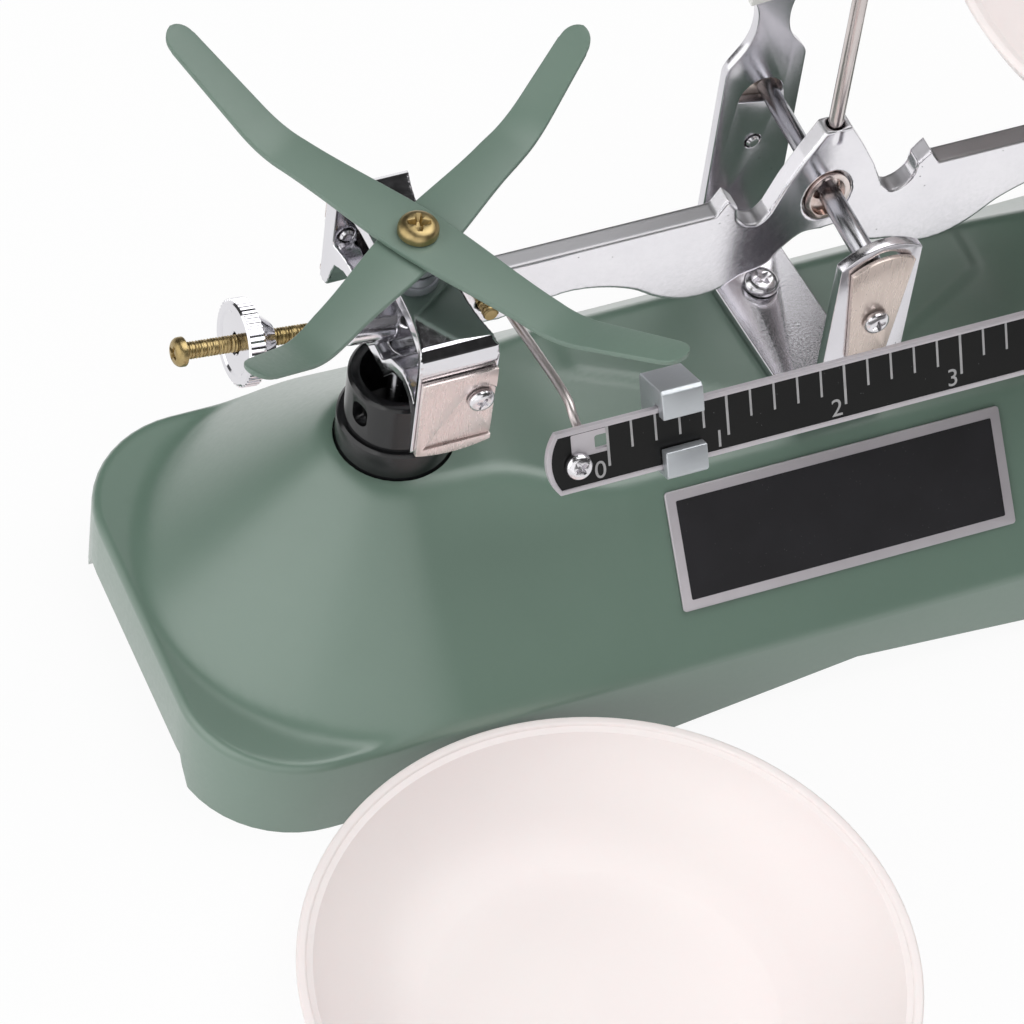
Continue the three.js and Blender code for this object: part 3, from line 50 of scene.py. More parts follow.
toFrame = Matrix.Translation(baseMiddle) @ Matrix.Scale(millimetre, 4)  # pieces are drawn in mm from here
sides = (("left", -1), ("right", 1))
play = 0.3  # room round every pin, screw and knife
past = 3.0  # how far a tool runs past the face that it cuts
through = 9.0  # half the length of a drill that goes right through
drill = 1.5  # radius of the holes for small screws
print("frame loaded:", len(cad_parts), "nodes")


# Working helpers: points, meshes, cuts and placing

class Sizes(dict):
    __getattr__ = dict.__getitem__  # a size in a piece's dictionary is read as shell.width


def lerp(a, b, t):
    return a + (b - a) * t


def clamp(value):
    return min(max(value, 0), 1)


def smoothStep(value, low, high):
    t = clamp((value - low) / (high - low))
    return t * t * (3 - 2 * t)


def around(count):
    # each place in a closed ring with the one after it
    return [(i, (i + 1) % count) for i in range(count)]


def flipped(points):
    # the other half of a mirrored outline
    return [(-x, z) for x, z in reversed(points)]


def radialPoint(radius, angle, centre=(0, 0)):
    return (centre[0] + radius * cos(angle), centre[1] + radius * sin(angle))


def arcPoints(centre, radius, start, end, steps):
    return [radialPoint(radius, lerp(start, end, i / steps), centre) for i in range(steps + 1)]


def circle(x, y, radius, steps=32):
    return [radialPoint(radius, tau * i / steps, (x, y)) for i in range(steps)]


def curvePoints(start, control, end, steps=12):
    return [tuple(lerp(lerp(a, c, t), lerp(c, b, t), t) for a, c, b in zip(start, control, end))
            for t in (i / steps for i in range(steps + 1))]


def splineThrough(points, steps=6):
    # Catmull-Rom with chord lengths to the half power, so that it doesn't loop at close points
    spots = [Vector(p) for p in points]
    spots = [spots[0] * 2 - spots[1], *spots, spots[-1] * 2 - spots[-2]]
    made = []
    for i in range(1, len(spots) - 2):
        near, times = spots[i - 1:i + 3], [0]
        for a, b in zip(near, near[1:]):
            times.append(times[-1] + max((b - a).length, 1e-6) ** 0.5)
        for k in range(steps):
            t, level = lerp(times[1], times[2], k / steps), near
            for reach in (1, 2):
                level = [a.lerp(b, (t - times[j]) / (times[j + reach] - times[j]))
                         for j, (a, b) in enumerate(zip(level, level[1:]))]
            made.append(tuple(level[0].lerp(level[1], (t - times[1]) / (times[2] - times[1]))))
    return [*made, tuple(spots[-2])]


def linked(name, data):
    obj = bpy.data.objects.new(name, data)
    bpy.context.scene.collection.objects.link(obj)
    return obj


def newObject(name, verts, faces):
    mesh = bpy.data.meshes.new(name)
    mesh.from_pydata([tuple(v) for v in verts], [], faces)
    mesh.validate()
    return linked(name, mesh)


def evaluated(obj):
    return bpy.data.meshes.new_from_object(obj.evaluated_get(bpy.context.evaluated_depsgraph_get()))


def meshFrom(name, curve):
    obj = linked(name, curve)
    mesh = evaluated(obj)
    bpy.data.objects.remove(obj)
    return linked(name, mesh)


def editMesh(obj, action):
    bm = bmesh.new()
    bm.from_mesh(obj.data)
    action(bm)
    bm.to_mesh(obj.data)
    bm.free()
    return obj


def join(pieces):
    bm = bmesh.new()
    for piece in pieces:
        bm.from_mesh(piece.data)
    bm.to_mesh(pieces[0].data)
    bm.free()
    for piece in pieces[1:]:
        bpy.data.objects.remove(piece)
    return pieces[0]


def outwards(obj):
    return editMesh(obj, lambda bm: bmesh.ops.recalc_face_normals(bm, faces=bm.faces))


def shift(x=0, y=0, z=0):
    return Matrix.Translation((x, y, z))


def halfTurn(side):
    # pieces are drawn for the front or the left, and turned round for the other side
    return Matrix.Rotation(pi if side > 0 else 0, 4, "Z")


def moved(obj, matrix):
    obj.data.transform(matrix)
    return obj


def baked(obj):
    mesh = evaluated(obj)
    obj.modifiers.clear()
    obj.data = mesh
    return obj


def withModifier(obj, kind, **settings):
    modifier = obj.modifiers.new(kind.title(), kind)
    for key, value in settings.items():
        setattr(modifier, key, value)
    return baked(obj)


def combine(obj, operation, *tools):
    for tool in tools:
        withModifier(obj, "BOOLEAN", object=tool, operation=operation, solver="EXACT")
        bpy.data.objects.remove(tool)
    return obj


def cutWith(obj, *tools):
    return combine(obj, "DIFFERENCE", *tools)


def joinWith(obj, *tools):
    return combine(obj, "UNION", *tools)


def prism(name, loops, low, high, axis):
    # the first loop is the outline, the others are holes; the axis is the one it is drawn along
    triangles = tessellate_polygon([[Vector((a, b, 0)) for a, b in loop] for loop in loops])
    points = [p for loop in loops for p in loop]
    order = {"x": (2, 0, 1), "y": (0, 2, 1), "z": (0, 1, 2)}[axis]
    verts = [tuple((a, b, depth)[k] for k in order) for depth in (low, high) for a, b in points]
    count, first = len(points), 0
    faces = [tuple(t) for t in triangles] + [tuple(i + count for i in reversed(t)) for t in triangles]
    for loop in loops:
        for i, k in around(len(loop)):
            faces.append((first + i, first + k, first + k + count, first + i + count))
        first += len(loop)
    return editMesh(outwards(newObject(name, verts, faces)), lambda bm: bmesh.ops.dissolve_limit(
        bm, angle_limit=0.001, verts=bm.verts, edges=bm.edges))


def lathe(name, profile, sides=64):
    verts, faces, rings = [], [], []
    for radius, height in profile:
        first = len(verts)
        verts += [(0, 0, height)] if radius < 1e-6 else [(*p, height) for p in circle(0, 0, radius, sides)]
        rings.append(range(first, len(verts)))
    for low, high in zip(rings, rings[1:]):
        for i, k in around(sides):
            corners = tuple(dict.fromkeys((low[i % len(low)], low[k % len(low)],
                                           high[k % len(high)], high[i % len(high)])))
            if len(corners) > 2:
                faces.append(corners)
    return outwards(newObject(name, verts, faces))


def turnedRing(name, profile, sides):
    # a lathe piece whose profile ends where it starts
    return outwards(editMesh(lathe(name, profile, sides), lambda bm: bmesh.ops.remove_doubles(
        bm, verts=bm.verts, dist=0.001)))


def rod(name, radius, low, high, axis="z", at=(0, 0), sides=48):
    return prism(name, [circle(*at, radius, sides)], low, high, axis)


def roundedBox(halfX, halfY, corner, middle=(0, 0), steps=8):
    points = []
    for i, (sx, sy) in enumerate(((1, 1), (-1, 1), (-1, -1), (1, -1))):
        centre = (middle[0] + sx * (halfX - corner), middle[1] + sy * (halfY - corner))
        points += arcPoints(centre, corner, i * pi / 2, (i + 1) * pi / 2, steps)
    return points


def bevelled(obj, width, segments=3, angle=35):
    return withModifier(obj, "BEVEL", width=width, segments=segments, limit_method="ANGLE",
                        angle_limit=radians(angle), use_clamp_overlap=True)


def castSurface(obj, voxel, rounds):
    withModifier(obj, "REMESH", mode="VOXEL", voxel_size=voxel, adaptivity=0)
    return withModifier(obj, "SMOOTH", iterations=rounds, factor=0.5)


def settle(obj, body, slotName, look, *nodes, angle=35):
    # moves a drawn piece into the frame and hands it to its body
    moved(obj, toFrame)
    obj.data.materials.clear()
    obj.data.materials.append(finishes[look])
    obj.data.shade_smooth()
    obj.data.set_sharp_from_angle(angle=radians(angle))
    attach(obj, body)
    if nodes:
        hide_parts(*nodes)


# Node trees: a value can be a number, a node's output, or a node, which stands for its first output

def feed(tree, socket, value):
    if isinstance(value, bpy.types.Node):
        value = value.outputs[0]
    if isinstance(value, bpy.types.NodeSocket):
        tree.links.new(value, socket)
    else:
        socket.default_value = value


def addNode(tree, kind, values=None, **settings):
    node = tree.nodes.new(kind)
    for key, value in settings.items():
        setattr(node, key, value)
    for socket, value in (values or {}).items():
        feed(tree, node.inputs[socket], value)
    return node


def reckon(add, operation, *values):
    return add("ShaderNodeMath", dict(enumerate(values)), operation=operation)


def remap(add, value, low, high, toLow=0.0, toHigh=1.0):
    return add("ShaderNodeMapRange", {
        "Value": value, "From Min": low, "From Max": high, "To Min": toLow, "To Max": toHigh})


def between(add, share, low, high):
    return add("ShaderNodeMix", {0: share, 2: low, 3: high})


def blended(add, amount, first, second):
    return add("ShaderNodeMix", {0: amount, 6: first, 7: second}, data_type="RGBA").outputs[2]


def startTree(name, kind, inputs, outputs):
    # gives back what adds a node to the tree, and the tree's inputs
    tree = bpy.data.node_groups.new(name, kind)
    for way, sockets in (("INPUT", inputs), ("OUTPUT", outputs)):
        for label, socket in sockets.items():
            tree.interface.new_socket(label, in_out=way, socket_type="NodeSocket" + socket)
    return partial(addNode, tree), tree.nodes.new("NodeGroupInput").outputs


def startShape(name, **inputs):
    inputs = {"Geometry": "Geometry", **inputs, "Finish": "Material"}
    return startTree(name, "GeometryNodeTree", inputs, {"Geometry": "Geometry"})


def endShape(add, start, geometry):
    real = add("GeometryNodeRealizeInstances", {"Geometry": geometry})
    painted = add("GeometryNodeSetMaterial", {"Geometry": real, "Material": start["Finish"]})
    return add("NodeGroupOutput", {0: painted}).id_data


def grown(name, tree, look, start=None, **values):
    # runs a node tree and keeps the mesh that it makes
    obj = start or newObject(name, [], [])
    modifier = obj.modifiers.new("Grown", "NODES")
    modifier.node_group = tree
    values["Finish"] = finishes[look]
    for item in tree.interface.items_tree:
        if item.in_out == "INPUT" and item.name in values:
            modifier[item.identifier] = values[item.name]
    return baked(obj)


# Finishes

surfaceInputs = {"Main Color": "Color", "Patch Color": "Color", "Patch Scale": "Float",
                 "Patch Amount": "Float", "Gloss Low": "Float", "Gloss High": "Float", "Grain Scale": "Float"}


def surfaceGroup():
    # soft colour patches, uneven gloss and a fine grain, in each finish's own colours and scales
    add, start = startTree("unevenSurface", "ShaderNodeTree", {"Vector": "Vector", **surfaceInputs},
                           {"Color": "Color", "Roughness": "Float", "Height": "Float"})
    patches = add("ShaderNodeTexNoise", {
        "Vector": start["Vector"], "Scale": start["Patch Scale"], "Detail": 3.0})
    amount = reckon(add, "MULTIPLY", remap(add, patches, 0.35, 0.65), start["Patch Amount"])
    grain = add("ShaderNodeTexNoise", {
        "Vector": start["Vector"], "Scale": start["Grain Scale"], "Detail": 4.0, "Roughness": 0.6})
    gloss = remap(add, grain, 0.3, 0.7, start["Gloss Low"], start["Gloss High"])
    color = blended(add, amount, start["Main Color"], start["Patch Color"])
    return add("NodeGroupOutput", {"Color": color, "Roughness": gloss, "Height": grain}).id_data


def speckGroup():
    # small scattered specks: chips, pits and dust
    add, start = startTree("scatteredSpecks", "ShaderNodeTree", {
        "Vector": "Vector", "Scale": "Float", "Size": "Float", "Share": "Float"}, {"Mask": "Float"})
    cells = add("ShaderNodeTexVoronoi", {"Vector": start["Vector"], "Scale": start["Scale"]}).outputs
    inside = reckon(add, "LESS_THAN", cells["Distance"], start["Size"])
    pick = add("ShaderNodeSeparateColor", {"Color": cells["Color"]})
    chosen = reckon(add, "LESS_THAN", pick, start["Share"])
    return add("NodeGroupOutput", {"Mask": reckon(add, "MULTIPLY", inside, chosen)}).id_data


unevenSurface = surfaceGroup()
scatteredSpecks = speckGroup()
bumpDepth = 0.0001  # metres


def colour(red, green, blue):
    # a screen colour, 0 to 255, as the linear value that the shader takes
    shares = (red / 255, green / 255, blue / 255)
    return (*(c / 12.92 if c < 0.0404 else ((c + 0.055) / 1.055) ** 2.4 for c in shares), 1.0)


def newMaterial(name):
    material = bpy.data.materials.new(name)
    material.use_nodes = True
    tree = material.node_tree
    return material, tree, partial(addNode, tree), tree.nodes["Principled BSDF"].inputs


def finish(name, main, patch, patchScale, patchAmount, glossLow, glossHigh, grainScale, bump, extras):
    material, tree, add, shader = newMaterial(name)
    for socket, value in extras.items():
        if socket in shader:
            shader[socket].default_value = value
    place = add("ShaderNodeTexCoord").outputs
    where = place["Object"]
    if "stretch" in extras:
        where = add("ShaderNodeMapping", {"Vector": where, "Scale": extras["stretch"]})
    values = (colour(*main), colour(*patch), patchScale, patchAmount, glossLow, glossHigh, grainScale)
    surface = add("ShaderNodeGroup", {"Vector": where, **dict(zip(surfaceInputs, values))},
                  node_tree=unevenSurface).outputs
    color, roughness = surface["Color"], surface["Roughness"]
    if "specks" in extras:
        scale, size, share, tint = extras["specks"]
        mask = add("ShaderNodeGroup", {"Vector": where, "Scale": scale, "Size": size, "Share": share},
                   node_tree=scatteredSpecks)
        color = blended(add, mask, color, colour(*tint))
    # faces turned upwards take a darker tint, a painted shade, and a rougher finish
    if "tops" in extras:
        tint, dull = extras["tops"]
        facing = add("ShaderNodeSeparateXYZ", {0: place["Normal"]}).outputs[2]
        upwards = remap(add, facing, 0.45, 0.7)
        color = blended(add, upwards, color, colour(*tint))
        roughness = between(add, upwards, roughness, dull)
    relief = add("ShaderNodeBump", {"Height": surface["Height"], "Strength": bump, "Distance": bumpDepth})
    for socket, value in (("Base Color", color), ("Roughness", roughness), ("Normal", relief)):
        feed(tree, shader[socket], value)
    return material


# each look: main and patch colours, patch scale and amount, gloss low and high, grain scale, bump, extras;
# the extras are the shader's own values, a stretch, specks (scale, size, share, tint) and tops made rougher
# and painted darker as shade (tint, roughness)
metal = {"Metallic": 1.0}
looks = {
    "enamel": ((106, 130, 116), (101, 125, 111), 28, 0.6, 0.3, 0.42, 900, 0.2,
               {"Specular IOR Level": 0.6, "Coat Weight": 0.9, "Coat Roughness": 0.36}),
    "armEnamel": ((112, 132, 120), (106, 126, 115), 45, 0.7, 0.34, 0.46, 1400, 0.14, {}),
    "chrome": ((224, 223, 227), (212, 210, 215), 60, 0.5, 0.07, 0.15, 900, 0.06, metal),
    "screwChrome": ((230, 228, 231), (214, 212, 216), 200, 0.6, 0.18, 0.28, 2400, 0.08, metal),
    "bracketMetal": ((224, 222, 227), (208, 206, 211), 60, 0.6, 0.16, 0.26, 2400, 0.06,
                     {"specks": (700, 0.1, 0.05, (128, 126, 130)), **metal}),
    # the beam's upward faces are painted darker as shade, and are made rougher
    "beamCast": ((240, 238, 242), (231, 229, 234), 70, 0.6, 0.14, 0.22, 1400, 0.08,
                 {"tops": ((176, 175, 178), 0.46), "specks": (800, 0.1, 0.05, (120, 118, 122)), **metal}),
    "zinc": ((196, 200, 204), (186, 190, 195), 120, 0.6, 0.38, 0.5, 3200, 0.12,
             {"stretch": (0.35, 1, 1), "Metallic": 0.8}),
    "steel": ((182, 182, 186), (160, 160, 166), 90, 0.6, 0.16, 0.28, 1800, 0.1,
              {"stretch": (1, 0.12, 1), **metal}),
    "wireSteel": ((214, 206, 204), (200, 191, 189), 150, 0.6, 0.3, 0.4, 2600, 0.06, {"Metallic": 0.9}),
    "needleSteel": ((214, 206, 204), (200, 191, 189), 150, 0.6, 0.14, 0.22, 2600, 0.06, metal),
    "brass": ((180, 160, 116), (152, 132, 88), 260, 0.7, 0.32, 0.44, 2200, 0.1, metal),
    "copper": ((228, 217, 213), (211, 186, 176), 240, 0.8, 0.14, 0.26, 2200, 0.1, metal),
    "beigePlate": ((229, 214, 205), (221, 205, 196), 70, 0.6, 0.24, 0.34, 1500, 0.03,
                   {"stretch": (1, 1, 0.15), "Metallic": 0.6}),
    "rosePlate": ((226, 213, 210), (218, 204, 202), 90, 0.4, 0.24, 0.32, 1500, 0.02,
                  {"stretch": (1, 1, 0.12), "Metallic": 0.8}),
    "bareMetal": ((202, 197, 202), (192, 187, 192), 160, 0.6, 0.32, 0.42, 2600, 0.05, {"Metallic": 0.35}),
    "blackPlastic": ((24, 24, 26), (19, 19, 20), 100, 0.6, 0.16, 0.24, 1500, 0.04, {}),
    "rulerBlack": ((20, 20, 20), (15, 15, 16), 90, 0.6, 0.3, 0.4, 2500, 0.05,
                   {"specks": (2600, 0.14, 0.02, (120, 120, 122)), "Specular IOR Level": 0.3}),
    "plateBlack": ((44, 43, 46), (38, 37, 39), 120, 0.6, 0.34, 0.44, 2200, 0.05,
                   {"specks": (3000, 0.14, 0.04, (112, 110, 112)), "Specular IOR Level": 0.3}),
    "printGrey": ((172, 171, 172), (156, 156, 158), 400, 0.7, 0.35, 0.5, 2500, 0.05, {}),
    "printBlack": ((30, 30, 30), (44, 44, 46), 400, 0.5, 0.4, 0.5, 2500, 0.05, {}),
    "dialWhite": ((238, 238, 234), (228, 228, 222), 60, 0.6, 0.34, 0.44, 1500, 0.06, {}),
    "panPlastic": ((251, 242, 240), (248, 237, 236), 16, 0.8, 0.34, 0.44, 700, 0.05,
                   {"Subsurface Weight": 0.15, "Subsurface Radius": (0.004, 0.003, 0.003)}),
}
finishes = {name: finish(name, *look) for name, look in looks.items()}
print("finishes made:", len(finishes))


# The cast base

shell = Sizes(
    length=(shellHigh.x - shellLow.x) / millimetre, width=(shellHigh.y - shellLow.y) / millimetre,
    corner=20.0, wall=2.6, rimZ=17.0, shelfZ=17.6, rimRound=1.5, rimDrop=1.7, rimRings=5,
    padZ=45.0, padHalf=38.0, padStep=0.7, stepWidth=1.8, frontFall=1.3,
    ridgeHalf=16.6, creaseFront=14.0, creaseSlope=0.53, shoulderBlend=2.0, footBlend=1.8,
    bossZ=48.3, bossRadius=11.3, footRadius=41.0, bossInnerZ=36.0, bossOuter=12.9, arm=72.5,
    socketRadius=10.2, socketZ=45.3, neckRadius=4.9, columns=(12, 190, 84), hollowColumns=(6, 60, 24))
frontArch = Sizes(leftX=41.0, kinkRise=7.2, easeX=33.0, easeRise=4.3, rightX=64.0)
endArch = Sizes(frontY=22.5, backY=24.0, rise=5.5, slant=3.0)
stayPlace = Sizes(pivotZ=15.8, frontY=2.3, backY=4.8, lugThickness=4.0, lugHalf=6.5, pivotRadius=2.3)


def ridgeHeight(x, y):
    s, along = shell, abs(x)
    towardBoss = smoothStep(along, s.padHalf, s.arm - s.bossRadius)
    crease = s.creaseSlope * along - s.creaseFront
    before = clamp((crease - y) / (crease + s.ridgeHalf))
    behind = smoothStep(y, crease - s.stepWidth / 2, crease + s.stepWidth / 2)
    inside = 1 - smoothStep(along, s.padHalf - s.stepWidth, s.padHalf + s.stepWidth)
    lowered = s.frontFall * before + s.padStep * (1 - behind * inside)
    return lerp(s.padZ, s.bossZ, towardBoss) - (1 - towardBoss) * lowered


def smoothLower(a, b, blend):
    overlap = max(blend - abs(a - b), 0)
    return min(a, b) - overlap * overlap / (4 * blend)


def shellHeight(x, y):
    s, along = shell, abs(x)
    towardBoss = clamp((along - s.padHalf) / (s.arm - s.padHalf))
    ridge = lerp(s.ridgeHalf, s.bossRadius, towardBoss)
    foot = lerp(s.width / 2, s.footRadius, towardBoss)
    level = lerp(s.padZ, s.bossZ, towardBoss)
    outward = hypot(along - s.arm, y) if along > s.arm else abs(y)
    slope = lerp(s.rimZ, level, (foot - outward) / (foot - ridge))
    hill = smoothLower(slope, ridgeHeight(x, y), s.shoulderBlend)
    return -smoothLower(-hill, -s.shelfZ, s.footBlend)


def planColumns(inset, cornerCount, lengthCount):
    straight, radius, half = shell.length / 2 - shell.corner, shell.corner - inset, shell.width / 2
    turns = [pi / 2 * (1 - i / cornerCount) for i in range(cornerCount)]
    corner = [(straight + radius * sin(turn), half - shell.corner + radius * cos(turn)) for turn in turns]
    middle = [(lerp(-straight, straight, i / lengthCount), half - inset) for i in range(lengthCount + 1)]
    return [(-x, half) for x, half in corner] + middle + corner[::-1]


def mound(name, inset, lowered, rings, floorZ, counts):
    # a closed solid under the base's top surface; the rings round its rim
    corner, length, rows = counts

    def spots(ringInset, places):
        columns = planColumns(ringInset, corner, length)
        return [(columns[c][0], columns[c][1] * (2 * r / rows - 1)) for c, r in places]

    last = len(planColumns(inset, corner, length)) - 1
    grid = [(c, r) for c in range(last + 1) for r in range(rows + 1)]
    verts = [(x, y, shellHeight(x, y) - lowered) for x, y in spots(inset, grid)]
    starts = [c * (rows + 1) + r for c in range(last) for r in range(rows)]
    faces = [(a, a + rows + 1, a + rows + 2, a + 1) for a in starts]
    edge = [(c, 0) for c in range(last)] + [(last, r) for r in range(rows)]
    edge += [(c, rows) for c in range(last, 0, -1)] + [(0, r) for r in range(rows, 0, -1)]
    upper = [c * (rows + 1) + r for c, r in edge]
    for ringInset, drop in [*rings, (rings[-1][0] if rings else inset, None)]:
        lower = range(len(verts), len(verts) + len(edge))
        verts += [(x, y, floorZ if drop is None else shellHeight(x, y) - drop)
                  for x, y in spots(ringInset, edge)]
        faces += [(upper[i], lower[i], lower[k], upper[k]) for i, k in around(len(edge))]
        upper = lower
    return outwards(newObject(name, verts, [*faces, tuple(upper)]))


def stayLug(frontY):
    s, topZ = stayPlace, shell.padZ - shell.wall / 2
    loop = arcPoints((0, s.pivotZ), s.lugHalf, pi, tau, 24) + [(s.lugHalf, topZ), (-s.lugHalf, topZ)]
    hole = arcPoints((0, s.pivotZ), s.pivotRadius, 0, tau * 23 / 24, 23)
    return prism("stayLug", [loop, hole], frontY, frontY + s.lugThickness, "y")


def makeBase():
    s, a, e, slant = shell, frontArch, endArch, endArch.slant / 2
    turns = [pi / 2 * (i + 1) / s.rimRings for i in range(s.rimRings)]
    rings = [(s.rimRound * (1 - sin(turn)), s.rimDrop * (1 - cos(turn))) for turn in turns]
    outer = mound("castBase", s.rimRound, 0, rings, 0, s.columns)
    hollow = mound("hollow", s.wall, s.wall * 1.3, [], -past, s.hollowColumns)
    lengthwise = [(-a.leftX, 0), (0, a.kinkRise), (a.easeX, a.easeRise), (a.rightX, 0), (a.rightX, -past),
                  (-a.leftX, -past)]
    crosswise = [(-e.frontY - slant, -past), (e.backY + slant, -past), (e.backY + slant, 0),
                 (e.backY - slant, e.rise), (slant - e.frontY, e.rise), (-e.frontY - slant, 0)]
    cutWith(outer, hollow, prism("longArch", [lengthwise], -s.width, s.width, "y"),
            prism("endArches", [crosswise], -s.length, s.length, "x"))
    places = [(side * s.arm, 0) for name, side in sides]
    bosses = [rod("boss", s.bossOuter, s.bossInnerZ, s.bossZ - s.wall, at=at) for at in places]
    joinWith(outer, *bosses, stayLug(stayPlace.frontY - play - stayPlace.lugThickness),
             stayLug(stayPlace.backY + play))
    for at in places:
        cutWith(outer, rod("socket", s.socketRadius, s.socketZ, s.bossZ + past, at=at),
                rod("neck", s.neckRadius, s.bossInnerZ - past, s.bossZ, at=at))
    settle(outer, "base", "hammered_paint", "enamel", "base_shell", angle=32)


makeBase()
print("base made")


# The nameplate lies on the front slope: a bare black panel in a plain border

plate = Sizes(x=-1.2, length=61.7, height=20.7, thickness=0.55, middleY=26.6, corner=0.6, border=1.75,
              panelCorner=0.3, panelSunk=0.1, panelProud=0.05, edge=0.12, panelEdge=0.02)
frontSlope = atan2(shell.padZ - shell.rimZ, shell.width / 2 - shell.ridgeHalf)


def makeNameplate():
    p, halfX, halfY = plate, plate.length / 2, plate.height / 2
    rise = (shell.width / 2 - p.middleY) * tan(frontSlope)
    place = (shift(p.x, -p.middleY - play * sin(frontSlope), shell.rimZ + rise + play * cos(frontSlope))
             @ Matrix.Rotation(frontSlope, 4, "X"))
    back = prism("nameplateBorder", [roundedBox(halfX, halfY, p.corner)], 0, p.thickness, "z")
    settle(moved(bevelled(back, p.edge), place), "base", "label_plate", "bareMetal", "nameplate")
    inner = roundedBox(halfX - p.border, halfY - p.border, p.panelCorner)
    panel = prism("nameplatePanel", [inner], p.thickness - p.panelSunk, p.thickness + p.panelProud, "z")
    settle(moved(bevelled(panel, p.panelEdge, 1), place), "base", "label_plate", "plateBlack")


makeNameplate()


# Screws: one head shape in several sizes, set by a node tree wherever a body has them

smallScrew = Sizes(head=2.25, height=1.5, shank=1.2, length=3.7)
floorScrew = Sizes(head=3.0, height=2.0, shank=1.5, length=9.0)
crossScrew = Sizes(head=3.35, height=2.3, shank=1.5, length=9.8)
screwSeat = 0.2
screwShape = Sizes(recessWidth=0.26, recessReach=0.62, recessDepth=0.62, recessFloor=(0.45, 0.6),
                   recessInner=1.5, recessPast=0.2, rim=0.36, crownFlat=0.45, crownSteps=7, edge=0.07,
                   sides=44)


def crossRecess(size):
    s = screwShape
    wide, reach = size.head * s.recessWidth / 2, size.head * s.recessReach
    inner, top, (floorX, floorY) = wide * s.recessInner, size.height + s.recessPast, s.recessFloor
    loop = []
    for quarter in range(4):
        turn = Matrix.Rotation(quarter * pi / 2, 2)
        loop += [tuple(turn @ Vector(p)) for p in ((reach, -wide), (reach, wide), (inner, inner))]
    low, count = size.height * (1 - s.recessDepth), len(loop)
    verts = [(x * floorX, y * floorY, low) for x, y in loop] + [(x, y, top) for x, y in loop]
    faces = [tuple(range(count)), tuple(range(count, 2 * count))]
    faces += [(i, k, k + count, i + count) for i, k in around(count)]
    return outwards(newObject("recess", verts, faces))


def panHead(name, size):
    head, height, shank, length = size.head, size.height, size.shank, size.length
    rim, flat, steps = screwShape.rim, screwShape.crownFlat, screwShape.crownSteps
    profile = [(0, -length), (shank * 0.75, -length), (shank, -length + shank * 0.35), (shank, 0),
               (head * 0.96, 0), (head, height * 0.07), (head, height * rim)]
    for i in range(1, steps + 1):
        turn = pi / 2 * i / steps
        radius = head * lerp(flat, 1, cos(turn)) if i < steps else 0
        profile.append((radius, height * lerp(rim, 1, sin(turn))))
    screw = lathe(name, profile, screwShape.sides)
    return bevelled(cutWith(screw, crossRecess(size)), screwShape.edge, 2, 40)


def screwTree():
    add, start = startShape("screwsOnPlaces", Screw="Object")
    out = add("GeometryNodeInputNamedAttribute", {"Name": "out"}, data_type="FLOAT_VECTOR")
    turn = add("GeometryNodeInputNamedAttribute", {"Name": "turn"}, data_type="FLOAT")
    facing = add("FunctionNodeAlignRotationToVector", {"Vector": out}, axis="Z")
    spin = add("FunctionNodeAxisAngleToRotation", {"Axis": (0, 0, 1), "Angle": turn})
    both = add("FunctionNodeRotateRotation", {
        "Rotation": facing, "Rotate By": spin}, rotation_space="LOCAL")
    shape = add("GeometryNodeObjectInfo", {"Object": start["Screw"]}).outputs["Geometry"]
    return endShape(add, start, add("GeometryNodeInstanceOnPoints", {
        "Points": start["Geometry"], "Instance": shape, "Rotation": both}))


screwsOnPlaces = screwTree()
smallShape = panHead("smallScrewShape", smallScrew)
floorShape = panHead("floorScrewShape", floorScrew)
crossShape = panHead("crossScrewShape", crossScrew)


def setScrews(name, shape, places, body, slotName, look, *nodes):
    # places are (point, direction out of the head, turn of the cross in degrees)
    spots = newObject(name, [p for p, out, turn in places], [])
    spots.data.attributes.new("out", "FLOAT_VECTOR", "POINT")
    spots.data.attributes.new("turn", "FLOAT", "POINT")
    for i, (_, out, turn) in enumerate(places):
        spots.data.attributes["out"].data[i].vector = Vector(out).normalized()
        spots.data.attributes["turn"].data[i].value = radians(turn)
    settle(grown(name, screwsOnPlaces, look, spots, Screw=shape), body, slotName, look, *nodes, angle=30)


# The column bracket with its covers, screws and dial

bracket = Sizes(width=15.0, sheet=1.9, span=39.4, middleY=2.2, bend=1.2, floorZ=45.2, frontTopZ=86.4,
                frontCrown=3.0, shoulderZ=91.0, waistZ=102.0, waistHalf=3.05, headHalf=6.5, headZ=110.0,
                headTopZ=122.0, screwY=9.8, floorHole=1.8, holeHalf=4.1, holeSide=1.3, turn=4.0, pivotZ=82.5,
                edge=0.28)
cover = Sizes(thickness=0.9, topZ=85.2, crown=2.0, bottomZ=63.6, topHalf=5.8, bottomHalf=3.5, screwZ=73.0,
              seat=0.2, edge=0.14)
dial = Sizes(thickness=1.2, bottomZ=108.5, bottomHalf=6.0, rootZ=118.0, rimRadius=70.0, halfAngle=17.0,
             screwLowZ=112.5, screwHighZ=118.5, edge=0.15, marks=21, markStep=1.4, markWidth=0.35,
             shortMark=3.0, longMark=5.0, markRadius=64.0, proud=0.06)
bracketFrame = shift(y=bracket.middleY) @ Matrix.Rotation(radians(bracket.turn), 4, "Z")


def bearingHole(plateY):
    b = bracket
    arc = arcPoints((0, b.pivotZ + b.holeSide), b.holeHalf, 0, pi, 20)
    return [(plateY * tan(radians(b.turn)), b.pivotZ - play), *arc]


def bracketStrip():
    b, half, wide = bracket, bracket.span / 2, bracket.bend + bracket.sheet
    outer, low, high = half + b.sheet, b.floorZ + wide, b.headTopZ + past
    loop = [(-outer, high), *arcPoints((wide - outer, low), wide, pi, pi * 1.5, 12),
            *arcPoints((outer - wide, low), wide, pi * 1.5, tau, 12), (outer, high), (half, high),
            *arcPoints((outer - wide, low), b.bend, 0, -pi / 2, 10),
            *arcPoints((wide - outer, low), b.bend, -pi / 2, -pi, 10), (-half, high)]
    return prism("columnBracketPiece", [loop], -b.width, b.width, "x")


